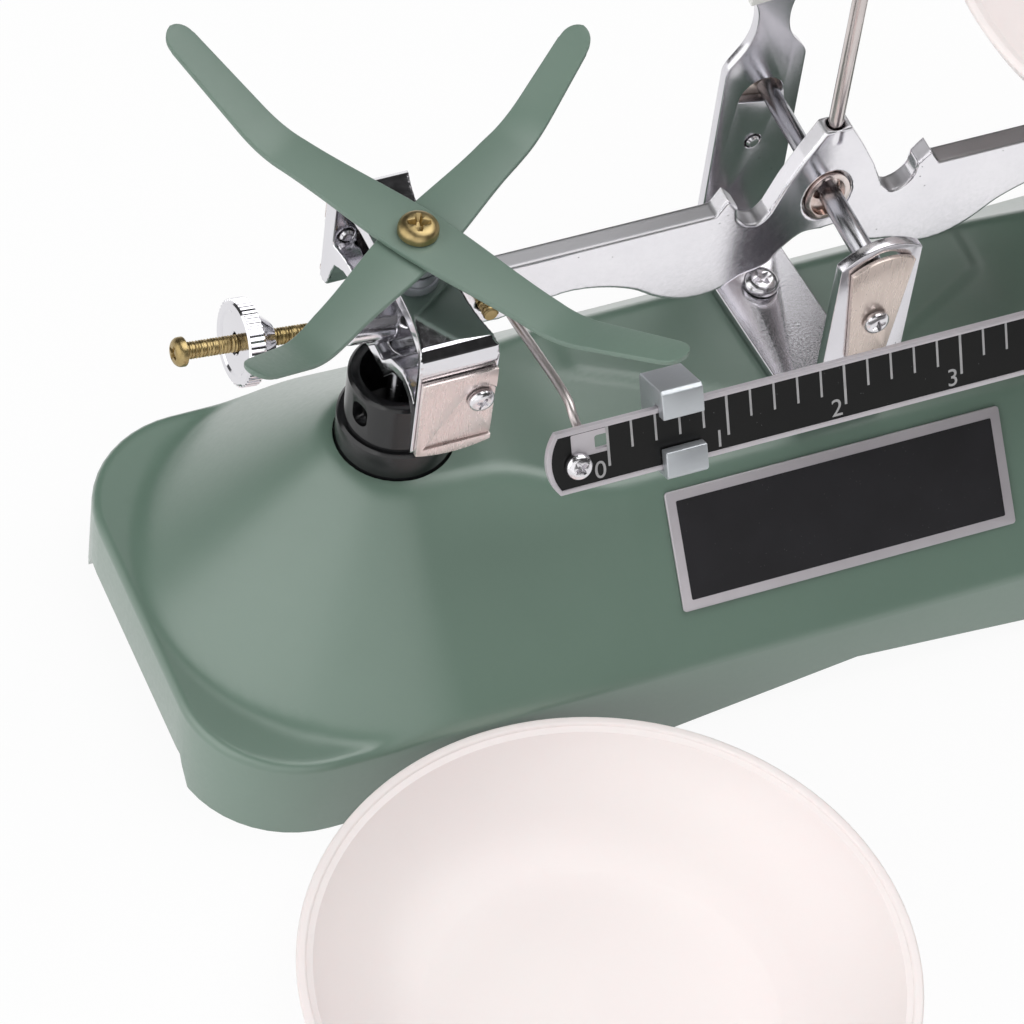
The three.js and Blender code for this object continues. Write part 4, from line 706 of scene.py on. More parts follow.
def bracketOutlines():
    b, half, reach, top = bracket, bracket.width / 2, bracket.span, bracket.frontTopZ
    front = [(-half, 0), (half, 0),
             *curvePoints((half, top), (0, top + b.frontCrown * 2), (-half, top), 24)]
    right = [(half, b.shoulderZ)]
    ends = [Vector(p) for p in (
        (half, b.shoulderZ), (half, lerp(b.shoulderZ, b.waistZ, 0.3)),
        (b.waistHalf, lerp(b.shoulderZ, b.waistZ, 0.4)), (b.waistHalf, b.waistZ))]
    for i in range(1, 17):
        t = i / 16
        p, q, r = (ends[k].lerp(ends[k + 1], t) for k in range(3))
        right.append(tuple(p.lerp(q, t).lerp(q.lerp(r, t), t)))
    neck = (b.waistHalf, lerp(b.waistZ, b.headZ, 0.6))
    right += curvePoints(right[-1], neck, (b.headHalf, b.headZ), 12)[1:]
    crown = arcPoints((0, b.headTopZ - b.headHalf), b.headHalf, 0, pi, 32)
    back = [(-half, 0), (half, 0), *right, *crown, *flipped(right)]
    backHoles = [circle(0, z, drill) for z in (cover.screwZ, dial.screwLowZ, dial.screwHighZ)]
    return joinWith(
        prism("halves", [front, bearingHole(-reach / 2), circle(0, cover.screwZ, drill)], -reach, 0, "y"),
        prism("backHalf", [back, bearingHole(reach / 2), *backHoles], 0, reach, "y"))


def makeBracket():
    folded = combine(bracketStrip(), "INTERSECT", bracketOutlines())
    cutWith(folded, rod("floorHole", bracket.floorHole, 0, bracket.floorZ + 5, at=(0, bracket.screwY)))
    moved(bevelled(folded, bracket.edge, 3, 40), bracketFrame)
    settle(folded, "base", "chrome", "bracketMetal", "column_bracket")


def makeCovers():
    c = cover
    outline = [(-c.bottomHalf, c.bottomZ), (c.bottomHalf, c.bottomZ),
               *curvePoints((c.topHalf, c.topZ), (0, c.topZ + c.crown * 2), (-c.topHalf, c.topZ), 20)]
    for name, side in (("front", -1), ("rear", 1)):
        piece = prism(name + "CoverPlate", [outline, circle(0, c.screwZ, drill)], -c.thickness, 0, "y")
        moved(bevelled(piece, c.edge), bracketFrame @ shift(y=side * coverFace) @ halfTurn(side))
        settle(piece, "base", "beige_plate", "beigePlate", name + "_bearing_cover")


def dialOutline():
    d, centre, angle = dial, (0, bracket.pivotZ), radians(dial.halfAngle)
    rimX, rimZ = d.rimRadius * sin(angle), centre[1] + d.rimRadius * cos(angle)
    shoulder = (rimX, lerp(d.rootZ, rimZ, 0.55))
    right = curvePoints((d.bottomHalf, d.bottomZ), (d.bottomHalf, d.rootZ), shoulder, 20)
    return [*right, *arcPoints(centre, d.rimRadius, pi / 2 - angle, pi / 2 + angle, 48), *flipped(right)]


def markFan():
    # bars along a circle, every fifth one longer
    add, start = startShape("fanOfMarks", Count="Int", Step="Float", Radius="Float", Width="Float",
                            Short="Float", Long="Float", Thickness="Float")
    middle = reckon(add, "MULTIPLY", reckon(add, "SUBTRACT", start["Count"], 1.0), 0.5)
    fromMiddle = reckon(add, "SUBTRACT", add("GeometryNodeInputIndex"), middle)
    angle = reckon(add, "MULTIPLY", fromMiddle, start["Step"])
    isLong = reckon(add, "LESS_THAN", reckon(add, "FLOORED_MODULO", fromMiddle, 5.0), 0.5)
    length = between(add, isLong, start["Short"], start["Long"])
    bar = add("GeometryNodeTransform", {
        "Geometry": add("GeometryNodeMeshCube"), "Translation": (0, 0, 0.5)})
    direction = add("ShaderNodeCombineXYZ", {
        0: reckon(add, "SINE", angle), 2: reckon(add, "COSINE", angle)})
    spot = add("ShaderNodeVectorMath", {0: direction, "Scale": start["Radius"]}, operation="SCALE")
    points = add("GeometryNodeSetPosition", {
        "Geometry": add("GeometryNodeMeshLine", {"Count": start["Count"]}), "Position": spot})
    return endShape(add, start, add("GeometryNodeInstanceOnPoints", {
        "Points": points, "Instance": bar, "Rotation": add("ShaderNodeCombineXYZ", {1: angle}),
        "Scale": add("ShaderNodeCombineXYZ", {0: start["Width"], 1: start["Thickness"], 2: length})}))


def makeDial():
    d, place = dial, bracketFrame @ shift(y=dialFace)
    holes = [circle(0, z, drill) for z in (d.screwLowZ, d.screwHighZ)]
    piece = prism("dialFan", [dialOutline(), *holes], -d.thickness, 0, "y")
    settle(moved(bevelled(piece, d.edge), place), "base", "white_plate", "dialWhite", "dial_plate")
    marks = grown("dialMarks", markFan(), "printBlack", Count=d.marks, Step=radians(d.markStep),
                  Width=d.markWidth, Radius=d.markRadius, Short=d.shortMark, Long=d.longMark,
                  Thickness=d.proud)
    moved(marks, place @ shift(0, -d.thickness, bracket.pivotZ))
    settle(marks, "base", "white_plate", "printBlack")


coverFace = bracket.span / 2 + bracket.sheet + cover.seat
dialFace = bracket.span / 2 - cover.seat
makeBracket()
makeCovers()
makeDial()
screwOut = coverFace + cover.thickness + cover.seat
dialOut = bracket.span / 2 - cover.seat * 2 - dial.thickness
upright = Vector((0, 0, 1))
bracketScrews = [(-screwOut, cover.screwZ, -1, 20), (screwOut, cover.screwZ, 1, 50),
                 (dialOut, dial.screwLowZ, -1, 35), (dialOut, dial.screwHighZ, -1, 5)]
setScrews("columnScrews", smallShape,
          [(bracketFrame @ Vector((0, y, z)), bracketFrame.to_3x3() @ Vector((0, out, 0)), turn)
           for y, z, out, turn in bracketScrews],
          "base", "chrome", "screwChrome", "front_cover_screw", "rear_cover_screw", "dial_screw_lower",
          "dial_screw_upper")
floorPoint = bracketFrame @ Vector((0, bracket.screwY, bracket.floorZ + bracket.sheet + cover.seat))
setScrews("columnFloorScrew", floorShape, [(floorPoint, upright, 15)], "base", "zinc", "screwChrome",
          "bracket_screw")
print("bracket made")


# The black sleeves

sleeve = Sizes(radius=8.75, flange=9.9, topZ=64.0, flangeZ=54.0, bottomZ=45.5, bore=6.8, neck=4.6,
               neckZ=52.0, chamfer=0.5, edge=0.2, slotWidth=3.4, slotLowZ=57.0, slotHighZ=62.0,
               slotTurn=20.0, sides=72)


def makeSleeve(name, side):
    s, c = sleeve, sleeve.chamfer
    profile = [(s.neck, s.bottomZ), (s.flange, s.bottomZ), (s.flange, s.flangeZ - c),
               (s.flange - c, s.flangeZ), (s.radius, s.flangeZ), (s.radius, s.topZ - c),
               (s.radius - c, s.topZ), (s.bore, s.topZ), (s.bore, s.neckZ), (s.neck, s.neckZ),
               (s.neck, s.bottomZ)]
    piece = turnedRing(name + "SleevePiece", profile, s.sides)
    slot = roundedBox(s.slotWidth / 2, (s.slotHighZ - s.slotLowZ) / 2, s.slotWidth * 0.45,
                      (0, (s.slotLowZ + s.slotHighZ) / 2))
    tool = prism("slot", [slot], -s.radius * 1.5, -s.radius * 0.5, "x")
    bevelled(cutWith(piece, moved(tool, Matrix.Rotation(radians(s.slotTurn), 4, "Z"))), s.edge)
    moved(piece, shift(side * shell.arm) @ halfTurn(side))
    settle(piece, "base", "black_plastic", "blackPlastic", name + "_sleeve")


for name, side in sides:
    makeSleeve(name, side)
print("sleeves made")


# The beam with its bush, knives and pointer

beam = Sizes(half=80.0, thickness=3.6, topZ=85.2, bellyZ=66.0, peakZ=99.3, peakHalf=2.25, endZ=74.4,
             bossRadius=3.3, bossLength=8.0, voxel=0.26, rounds=3, hornFoot=0.25,
             crown=[(0.066, 0.617), (0.1, 0.227), (0.1275, -0.177)],
             notch=[(0.149, -0.305), (0.175, -0.277), (0.1975, -0.142), (0.2025, 0.057)],
             horn=(0.2275, 0.227),
             belly=[(0.7125, 0.365), (0.58, 0.49), (0.51, 0.464), (0.421, 0.323), (0.356, 0.125),
                    (0.3, 0.02), (0.254, 0.0), (0.21, 0.036), (0.171, 0.135), (0.115, 0.2),
                    (0.079, 0.385), (0.039, 0.51), (0.0, 0.5)])
bush = Sizes(halfWidth=3.9, halfHeight=5.2, rim=0.9, proud=0.3, middleZ=83.8, bar=1.0, edge=0.12)
middleKnife = Sizes(radius=1.9, backRadius=1.6, edge=2.3, middleZ=84.8, stepY=2.4, endGap=0.5)
endKnife = Sizes(radius=1.4, edge=1.7, middleZ=79.0, reach=19.7)
knifeRound = 0.12
pointer = Sizes(radius=1.25, footZ=96.3, tipZ=148.0, tipLength=9.0, tipRadius=0.4, tipRound=0.15, taper=0.8,
                steps=6)
adjuster = Sizes(radius=1.45, rootX=77.6, rootZ=78.15, headX=111.0, headZ=82.5, head=2.4, height=1.9,
                 pitch=0.5, ridge=0.16)
clampScrew = Sizes(left=59.9, right=57.7, z=78.0, radius=1.3, front=2.8, head=2.6, height=1.7, pitch=0.5,
                   ridge=0.16)
wire = Sizes(left=55.8, right=61.0, radius=0.75, z=75.5, behind=2.5, straightY=26.2, crestZ=80.0, loop=2.7)
adjusterTilt = atan2(adjuster.headZ - adjuster.rootZ, adjuster.headX - adjuster.rootX)


def adjusterFrame(side):
    return (shift(side * adjuster.rootX, 0, adjuster.rootZ)
            @ Matrix.Rotation(side * (pi / 2 - adjusterTilt), 4, "Y"))


def beamOutline():
    b, half = beam, beam.half
    depth, crown = b.topZ - b.bellyZ, b.peakZ - b.topZ
    above = [(x * half, b.topZ + z * crown) for x, z in (*b.crown, *b.notch)]
    slope, notch = above[:len(b.crown) - 1], above[len(b.crown) - 1:]
    right = [(b.peakHalf, b.peakZ), *slope, *splineThrough(notch, 6),
             (b.horn[0] * half, b.topZ + b.horn[1] * crown), (b.hornFoot * half, b.topZ), (half, b.topZ),
             (half, b.endZ), *splineThrough([(x * half, b.bellyZ + z * depth) for x, z in b.belly], 5)]
    return right + flipped(right[:-1])


def oval(halfWidth, halfHeight, steps=48):
    return [(halfWidth * x, bush.middleZ + halfHeight * z) for x, z in circle(0, 0, 1, steps)]


def makeBeam():
    half, length = beam.thickness / 2, beam.bossLength
    piece = prism("castBeam", [beamOutline()], -half, half, "y")
    for name, side in sides:
        boss = rod("boss", beam.bossRadius, -length / 4, length * 0.75)
        joinWith(piece, moved(boss, adjusterFrame(side)))
    ovalHole = oval(bush.halfWidth + play, bush.halfHeight + play)
    holes = [prism("ovalHole", [ovalHole], -through, through, "y"),
             rod("pointerHole", pointer.radius + play, pointer.footZ - play, beam.peakZ + past)]
    for name, side in sides:
        screwHole = rod("screwHole", adjuster.radius + play, -play, length + past)
        holes.append(moved(screwHole, adjusterFrame(side)))
        for radius, x, z in ((endKnife.edge, shell.arm, endKnife.middleZ),
                             (clampScrew.radius, clampScrew[name], clampScrew.z),
                             (wire.radius, wire[name], wire.z)):
            holes.append(rod("hole", radius + play, -through, through, "y", (side * x, z)))
    castSurface(cutWith(piece, *holes), beam.voxel, beam.rounds)
    settle(piece, "beam", "zinc", "beamCast", "beam", angle=60)


def makeBush():
    reach, b, half = beam.thickness / 2, bush, middleKnife.radius + play + bush.bar
    w, h, z, mid = b.halfWidth, b.halfHeight, b.middleZ, middleKnife.middleZ
    low, high = z - h + b.rim, z + h - b.rim
    ring = prism("bushRing", [oval(w, h), oval(w - b.rim, h - b.rim)],
                 -reach - b.proud, reach + b.proud, "y")
    loop = [(b.bar - half, low), (half - b.bar, low), (half, mid), (half - b.bar, high),
            (b.bar - half, high), (-half, mid)]
    joinWith(ring, prism("bushBar", [loop], -reach / 2, reach + b.proud, "y"))
    cutWith(ring, rod("knifeHole", middleKnife.edge + play, -through, through, "y", (0, mid)))
    settle(bevelled(ring, b.edge), "beam", "copper", "copper", "knife_bush")


def knifeBar(name, radius, edge, upwards, middle, frontY, backY):
    # a round bar drawn out to an edge on one side
    touch, start = acos(radius / edge), upwards * pi / 2
    arc = arcPoints(middle, radius, start + touch, start + tau - touch, 36)
    return prism(name, [[(middle[0], middle[1] + upwards * edge), *arc]], frontY, backY, "y")


def makeKnives():
    k, at, half = middleKnife, (0, middleKnife.middleZ), bracket.span / 2 + bracket.sheet
    thick = knifeBar("middleKnifeBar", k.radius, k.edge, -1, at, bracket.middleY - half + k.endGap, -k.stepY)
    thin = knifeBar("rearBar", k.backRadius, k.edge, -1, at, -k.stepY, bracket.middleY + half - k.endGap)
    bevelled(joinWith(thick, thin), knifeRound, 2, 50)
    settle(thick, "beam", "steel", "steel", "middle_knife")
    for name, side in sides:
        k, at = endKnife, (side * shell.arm, endKnife.middleZ)
        bar = knifeBar(name + "KnifeBar", k.radius, k.edge, 1, at, -k.reach, k.reach)
        settle(bevelled(bar, knifeRound, 2, 50), "beam", "steel", "steel", name + "_knife")


def makePointer():
    p, steps = pointer, pointer.steps
    neckZ = p.tipZ - p.tipLength
    profile = [(0, p.footZ), (p.radius, p.footZ), (p.radius, neckZ)]
    for share in (i / steps for i in range(1, steps + 1)):
        radius = lerp(p.radius, p.tipRadius, share ** p.taper)
        profile.append((radius, lerp(neckZ, p.tipZ - p.tipRound, share)))
    profile += [(p.tipRadius * 0.6, p.tipZ), (0, p.tipZ)]
    settle(lathe("pointerNeedle", profile, 32), "beam", "zinc", "needleSteel", "pointer")


makeBeam()
makeBush()
makeKnives()
makePointer()
print("beam made")


# Threaded brass screws: a node tree winds the thread round each core

def threadTree():
    add, start = startShape("woundThread", Length="Float", Radius="Float", Pitch="Float", Ridge="Float")
    length, ridge = start["Length"], start["Ridge"]
    core = reckon(add, "SUBTRACT", start["Radius"], ridge)
    spiral = add("GeometryNodeCurveSpiral", {
        "Resolution": 18, "Rotations": reckon(add, "DIVIDE", length, start["Pitch"]), "Start Radius": core,
        "End Radius": core, "Height": length})
    profile = add("GeometryNodeCurvePrimitiveCircle", {"Resolution": 4, "Radius": ridge})
    wound = add("GeometryNodeCurveToMesh", {"Curve": spiral, "Profile Curve": profile, "Fill Caps": True})
    bar = add("GeometryNodeMeshCylinder", {"Vertices": 32, "Radius": core, "Depth": length})
    up = add("ShaderNodeCombineXYZ", {2: reckon(add, "MULTIPLY", length, 0.5)})
    both = add("GeometryNodeJoinGeometry", {0: wound})
    feed(both.id_data, both.inputs[0], add("GeometryNodeTransform", {"Geometry": bar, "Translation": up}))
    return endShape(add, start, both)


woundThread = threadTree()


def threadedScrew(name, size, length, place, node):
    # the head stands on the far end of a threaded shank that starts at the place's origin
    shank = grown(name, woundThread, "brass", Length=length, Radius=size.radius, Pitch=size.pitch,
                  Ridge=size.ridge)
    head = panHead("head", Sizes(head=size.head, height=size.height, shank=size.radius * 0.8, length=1.0))
    joined = join([shank, moved(head, shift(z=length))])
    settle(moved(joined, place), "beam", "brass", "brass", node, angle=30)


adjusterLength = hypot(adjuster.headX - adjuster.rootX, adjuster.headZ - adjuster.rootZ)
clampLength = beam.thickness + clampScrew.front
for name, side in sides:
    threadedScrew(name + "AdjusterScrew", adjuster, adjusterLength, adjusterFrame(side),
                  name + "_balance_screw")
    clampPlace = (shift(side * clampScrew[name], beam.thickness / 2 + screwSeat - clampLength, clampScrew.z)
                  @ Matrix.Rotation(-pi / 2, 4, "X"))
    threadedScrew(name + "ClampScrew", clampScrew, clampLength, clampPlace, name + "_clamp_screw")


# The knurled balance nuts

nut = Sizes(x=99.7, radius=7.15, thickness=3.0, hub=5.2, hubTip=3.0, hubLength=3.3, hubRise=0.1, sunk=0.25,
            sunkSlope=0.2, ridge=0.3, ridges=46, bore=1.75, chamfer=0.3, sides=72)


def knurlTree():
    add, start = startShape("knurledRim", Radius="Float", Thickness="Float", Ridge="Float", Count="Int")
    ring = add("GeometryNodeMeshCircle", {"Vertices": start["Count"], "Radius": start["Radius"]})
    bar = add("GeometryNodeMeshCylinder", {
        "Vertices": 6, "Radius": start["Ridge"], "Depth": start["Thickness"]})
    return endShape(add, start, add("GeometryNodeInstanceOnPoints", {"Points": ring, "Instance": bar}))


knurledRim = knurlTree()


def makeNut(name, side):
    n, thick, c, rim = nut, nut.thickness, nut.chamfer, nut.radius - nut.ridge
    face = thick - n.sunk
    profile = [(n.bore, -n.hubLength), (n.hubTip - c, -n.hubLength), (n.hubTip, -n.hubLength + c),
               (n.hub, -n.hubRise), (rim - c, 0), (rim, c), (rim, thick - c), (rim - c, thick),
               (n.hub + n.sunkSlope, thick), (n.hub - n.sunkSlope, face), (n.bore + c, face),
               (n.bore, face - c), (n.bore, -n.hubLength)]
    disc = turnedRing(name + "NutWheel", profile, n.sides)
    knurl = grown("knurl", knurledRim, "chrome", Radius=rim, Thickness=thick - 2 * c, Ridge=n.ridge,
                  Count=n.ridges)
    wheel = join([disc, moved(knurl, shift(z=thick / 2))])
    moved(wheel, adjusterFrame(side) @ shift(z=(n.x - adjuster.rootX) / cos(adjusterTilt)))
    settle(wheel, name + "_nut", "zinc", "chrome", name + "_balance_nut", angle=30)


for name, side in sides:
    makeNut(name, side)
print("screws and nuts made")


# The ruler, its marks and numbers, its wires and the rider

ruler = Sizes(leftX=62.1, rightX=67.1, height=10.8, thickness=1.0, topY=31.4, topZ=79.0, endBow=1.9,
              edge=0.13, screwInset=5.2, screwDrop=6.2, tabX=52.4, tabDrop=3.2, tabHalf=1.25, lean=26.0,
              tabCorner=0.4, zeroX=-51.45, unit=20.75, marks=26, perUnit=5, rim=0.8, rimProud=0.14,
              faceGap=0.02, longMark=7.0, shortMark=4.7, markWidth=0.38, ink=0.05, inkLift=0.01,
              numberSize=4.3, numberGap=0.55, numberRise=0.5, bareHalf=(3.25, 2.05), bareCorner=0.3,
              bareMiddle=(2.05, 0.2))
rider = Sizes(x=39.0, width=7.2, body=5.6, lip=2.0, cap=3.3, sole=0.9, upperLip=5.0, lowerLip=4.9,
              chamfer=0.6, edge=0.22, eyeRadius=2.6, eyeWidth=0.35, eyeDepth=0.12)
rulerFrame = shift(0, -ruler.topY, ruler.topZ) @ Matrix.Rotation(pi / 2 - radians(ruler.lean), 4, "X")
rulerEnds = {"left": ruler.screwInset - ruler.leftX, "right": ruler.rightX - ruler.screwInset}


def bowedPlate(inset):
    # the ruler's outline, or a line inside it: two long edges and two ends bowed outwards
    halfX, halfY = (ruler.leftX + ruler.rightX) / 2 - inset, ruler.height / 2 - inset
    bow = ruler.endBow * (halfY / (halfY + inset)) ** 2
    radius = (halfY ** 2 + bow ** 2) / (2 * bow)
    turn, middleX, middleY = asin(halfY / radius), (ruler.rightX - ruler.leftX) / 2, -ruler.height / 2
    return (arcPoints((middleX + halfX - radius, middleY), radius, -turn, turn, 16)
            + arcPoints((middleX - halfX + radius, middleY), radius, pi - turn, pi + turn, 16))


def makeRuler():
    r, outline = ruler, bowedPlate(0)
    tab = roundedBox(r.tabHalf, r.tabHalf, r.tabCorner, (-r.tabX, -r.tabDrop), 4)
    screws = [circle(x, -r.screwDrop, drill) for x in rulerEnds.values()]
    back = prism("rulerPlate", [outline, tab, *screws], -r.thickness, -r.ink, "z")
    joinWith(back, prism("rulerRim", [outline, bowedPlate(r.rim)], -r.thickness / 2, r.rimProud, "z"))
    settle(moved(bevelled(back, r.edge), rulerFrame), "beam", "black_rule", "bareMetal", "ruler")
    besideX, besideY = r.bareMiddle
    bare = roundedBox(*r.bareHalf, r.bareCorner, (-r.tabX - besideX, -r.tabDrop + besideY), 5)
    face = prism("rulerFace", [bowedPlate(r.rim + r.faceGap), bare, *screws], -r.ink, 0, "z")
    settle(moved(face, rulerFrame), "beam", "black_rule", "rulerBlack")


def scaleTree():
    # upright bars along a line, the first of each unit longer and a little broader
    add, start = startShape("rulerScale", Count="Int", Unit="Int", Step="Float", Width="Float",
                            Short="Float", Long="Float", Thickness="Float")
    line = add("GeometryNodeMeshLine", {
        "Count": start["Count"], "Offset": add("ShaderNodeCombineXYZ", {0: start["Step"]})})
    within = reckon(add, "MODULO", add("GeometryNodeInputIndex"), start["Unit"])
    isLong = reckon(add, "LESS_THAN", within, 0.5)
    length = between(add, isLong, start["Short"], start["Long"])
    broad = reckon(add, "MULTIPLY", reckon(add, "MULTIPLY_ADD", isLong, 0.15, 1.0), start["Width"])
    bar = add("GeometryNodeTransform", {
        "Geometry": add("GeometryNodeMeshCube"), "Translation": (0, -0.5, 0)})
    return endShape(add, start, add("GeometryNodeInstanceOnPoints", {
        "Points": line, "Instance": bar,
        "Scale": add("ShaderNodeCombineXYZ", {0: broad, 1: length, 2: start["Thickness"]})}))


def makeScale():
    r, numbers = ruler, []
    marks = grown("rulerMarks", scaleTree(), "printGrey", Count=r.marks, Unit=r.perUnit,
                  Step=r.unit / r.perUnit, Width=r.markWidth, Short=r.shortMark, Long=r.longMark,
                  Thickness=r.ink)
    settle(moved(marks, rulerFrame @ shift(r.zeroX, -r.rim, r.inkLift)), "beam", "black_rule", "printGrey")
    for i in range(r.marks // r.perUnit + 1):
        text = bpy.data.curves.new("number", "FONT")
        text.body, text.size, text.align_x, text.extrude = str(i), r.numberSize, "RIGHT", r.ink / 2
        spot = shift(r.zeroX + i * r.unit - r.numberGap, -r.height + r.rim + r.numberRise, r.inkLift)
        numbers.append(moved(meshFrom("rulerNumbers", text), spot))
    settle(moved(join(numbers), rulerFrame), "beam", "black_rule", "printGrey")


def makeRider():
    r, c, back = rider, rider.chamfer, ruler.thickness + play
    low, high, deep, lip = -ruler.height - play, r.cap + play, -back - r.body, play + r.lip
    foot = low - r.sole
    loop = [(high, deep + c), (high, lip - c), (high - c, lip), (high - r.upperLip, lip),
            (high - r.upperLip, play), (play, play), (play, -back), (low, -back), (low, play),
            (foot + r.lowerLip, play), (foot + r.lowerLip, lip), (foot + c, lip), (foot, lip - c),
            (foot, deep + c), (foot + c, deep), (high - c, deep)]
    piece = bevelled(prism("riderWeight", [loop], -r.width / 2, r.width / 2, "x"), r.edge)
    spot = (low / 2, deep / 2 - back / 2)
    for side in (-1, 1):
        edge = side * r.width / 2
        groove = rod("eyeGroove", r.eyeRadius, edge - r.eyeDepth, edge + 1, "x", spot)
        core = rod("eyeCore", r.eyeRadius - r.eyeWidth, edge - 1, edge + 2, "x", spot)
        cutWith(piece, cutWith(groove, core))
    settle(moved(piece, rulerFrame @ shift(-r.x)), "rider", "zinc", "zinc", "rider")


def wirePiece(name, side):
    # runs forward from behind the beam, then curls round the ruler's end screw
    x, radius, end = wire[name], wire.radius, rulerEnds[name]
    backing = -ruler.thickness - radius - play
    points = [(side * x, wire.behind, wire.z), (side * x, -beam.thickness, wire.z),
              (side * x, -wire.straightY / 2, lerp(wire.z, wire.crestZ, 0.45)),
              (side * x, -wire.straightY, wire.crestZ - radius / 2),
              rulerFrame @ Vector((side * x, radius, backing - radius))]
    for turn in (radians(angle) for angle in range(0, 271, 30)):
        points.append(rulerFrame @ Vector((end - side * wire.loop * cos(turn),
                                           -ruler.screwDrop - wire.loop * sin(turn), backing)))
    curve = bpy.data.curves.new("wireLine", "CURVE")
    curve.dimensions, curve.bevel_depth, curve.bevel_resolution, curve.use_fill_caps = "3D", radius, 5, True
    path, line = splineThrough(points, 8), curve.splines.new("POLY")
    line.points.add(len(path) - 1)
    for spot, point in zip(line.points, path):
        spot.co = (*point, 1)
    piece = outwards(meshFrom(name + "WireArm", curve))
    settle(piece, "beam", "steel", "wireSteel", name + "_ruler_wire")


makeRuler()
makeScale()
makeRider()
faceOut = rulerFrame.to_3x3() @ upright
setScrews("rulerScrews", smallShape,
          [(rulerFrame @ Vector((x, -ruler.screwDrop, screwSeat)), faceOut, 30 + 40 * i)
           for i, x in enumerate(rulerEnds.values())],
          "beam", "brass", "screwChrome", "left_ruler_screw", "right_ruler_screw")
for name, side in sides:
    wirePiece(name, side)
print("ruler made")


# The carriers with their covers, the cross of arms on each, and the stems

carrier = Sizes(topZ=90.8, top=3.0, faceY=20.0, cheek=2.3, half=6.9, waist=4.9, waistY=7.0, flareY=14.5,
                bendY=17.9, bendDrop=4.1, midBendY=19.5, midBendDrop=1.3, footZ=67.6, archY=16.6,
                archZ=74.6, funnelZ=68.0, web=3.0, holeHalf=1.9, holeDrop=4.6, edgeZ=80.7,
                voxel=0.22, rounds=4)
cheek = Sizes(thickness=0.8, recess=0.35, top=1.2, sideGap=0.5, crown=1.0, screwX=3.8, screwZ=79.3,
              tear=3.2, tearTurn=0.8, line=0.3, lineDepth=0.2, seat=0.2, edge=0.06)
stem = Sizes(radius=2.1, topZ=70.6, eyeRadius=4.0, eyeThickness=4.0, pinZ=14.0, pinRadius=1.5, edge=0.2)
strip = Sizes(thickness=1.1, centreHalf=5.0, armHalf=3.65, tipHalf=2.65, bendStart=26.0, bendLength=8.0,
              upperReach=51.3, lowerReach=46.3, upperRise=0.5, lowerRise=0.65, upperTurn=-60.0,
              lowerTurn=34.0, steps=150, crowding=1.35, least=0.05, edgeRound=0.3)
crossStack = Sizes(washerRadius=4.2, washer=1.8, washerChamfer=0.15, lowerWasherZ=91.0, upperWasherZ=93.0,
                   lowerStripZ=95.0, upperStripZ=96.3, headZ=97.6)


def carrierSide():
    c, face, arch = carrier, carrier.faceY - carrier.cheek, carrier.archY
    outer = [(c.bendY, c.topZ), (c.midBendY, c.topZ - c.midBendDrop), (c.faceY, c.topZ - c.bendDrop),
             (c.faceY, c.footZ + c.cheek / 2), (c.faceY - c.cheek * 0.3, c.footZ),
             (c.faceY - c.cheek * 0.8, c.footZ), (arch + c.web * 0.3, lerp(c.footZ, c.archZ, 0.45)),
             (arch, c.archZ - c.web * 0.3), (arch * 0.86, c.archZ), (arch * 0.66, c.archZ),
             (arch * 0.4, lerp(c.funnelZ, c.archZ, 0.7)), (stem.radius + play + c.web / 3, c.funnelZ)]
    inner = [(c.bendY - c.top / 2, c.topZ - c.top), (face, c.topZ - c.bendDrop),
             (face, c.archZ + c.web * 1.08), (arch * 0.86, c.archZ + c.web),
             (arch * 0.6, c.archZ + c.web * 0.8), (arch * 0.3, lerp(c.funnelZ, c.archZ, 0.5) + c.web),
             (stem.radius + play, c.funnelZ + c.web)]
    return prism("castCarrier", [half + flipped(half) for half in (outer, inner)], -c.half, c.half, "x")


def carrierPlan():
    c, reach = carrier, carrier.faceY + past
    right = [(c.half, -reach),
             *curvePoints((c.half, -c.faceY), (c.waist, -c.flareY), (c.waist, -c.waistY), 16),
             *curvePoints((c.waist, c.waistY), (c.waist, c.flareY), (c.half, c.faceY), 16), (c.half, reach)]
    return prism("plan", [right + flipped(right)], 0, c.topZ + past, "z")


def makeCarrier(name, side):
    c, half, peak = carrier, carrier.holeHalf, carrier.edgeZ + play
    piece = combine(carrierSide(), "INTERSECT", carrierPlan())
    piece.name = name + "CarrierCasting"
    shoulder, foot, under = peak - half * 0.53, peak - c.holeDrop, c.topZ - c.top - past
    notch = [(0, peak), (-half, shoulder), (-half, foot), (half, foot), (half, shoulder)]
    tools = [prism("knifeNotch", [notch], -c.faceY - past, c.faceY + past, "y"),
             rod("stemHole", stem.radius + play, 0, under),
             rod("screwHole", crossScrew.shank + play, under, c.topZ + past)]
    tools += [rod("coverHole", drill, end * c.faceY - past, end * c.faceY + past, "y",
                  (-end * cheek.screwX, cheek.screwZ)) for end in (-1, 1)]
    castSurface(cutWith(piece, *tools), c.voxel, c.rounds)
    moved(piece, shift(side * shell.arm))
    settle(piece, name + "_hanger", "chrome", "chrome", name + "_carrier", angle=50)


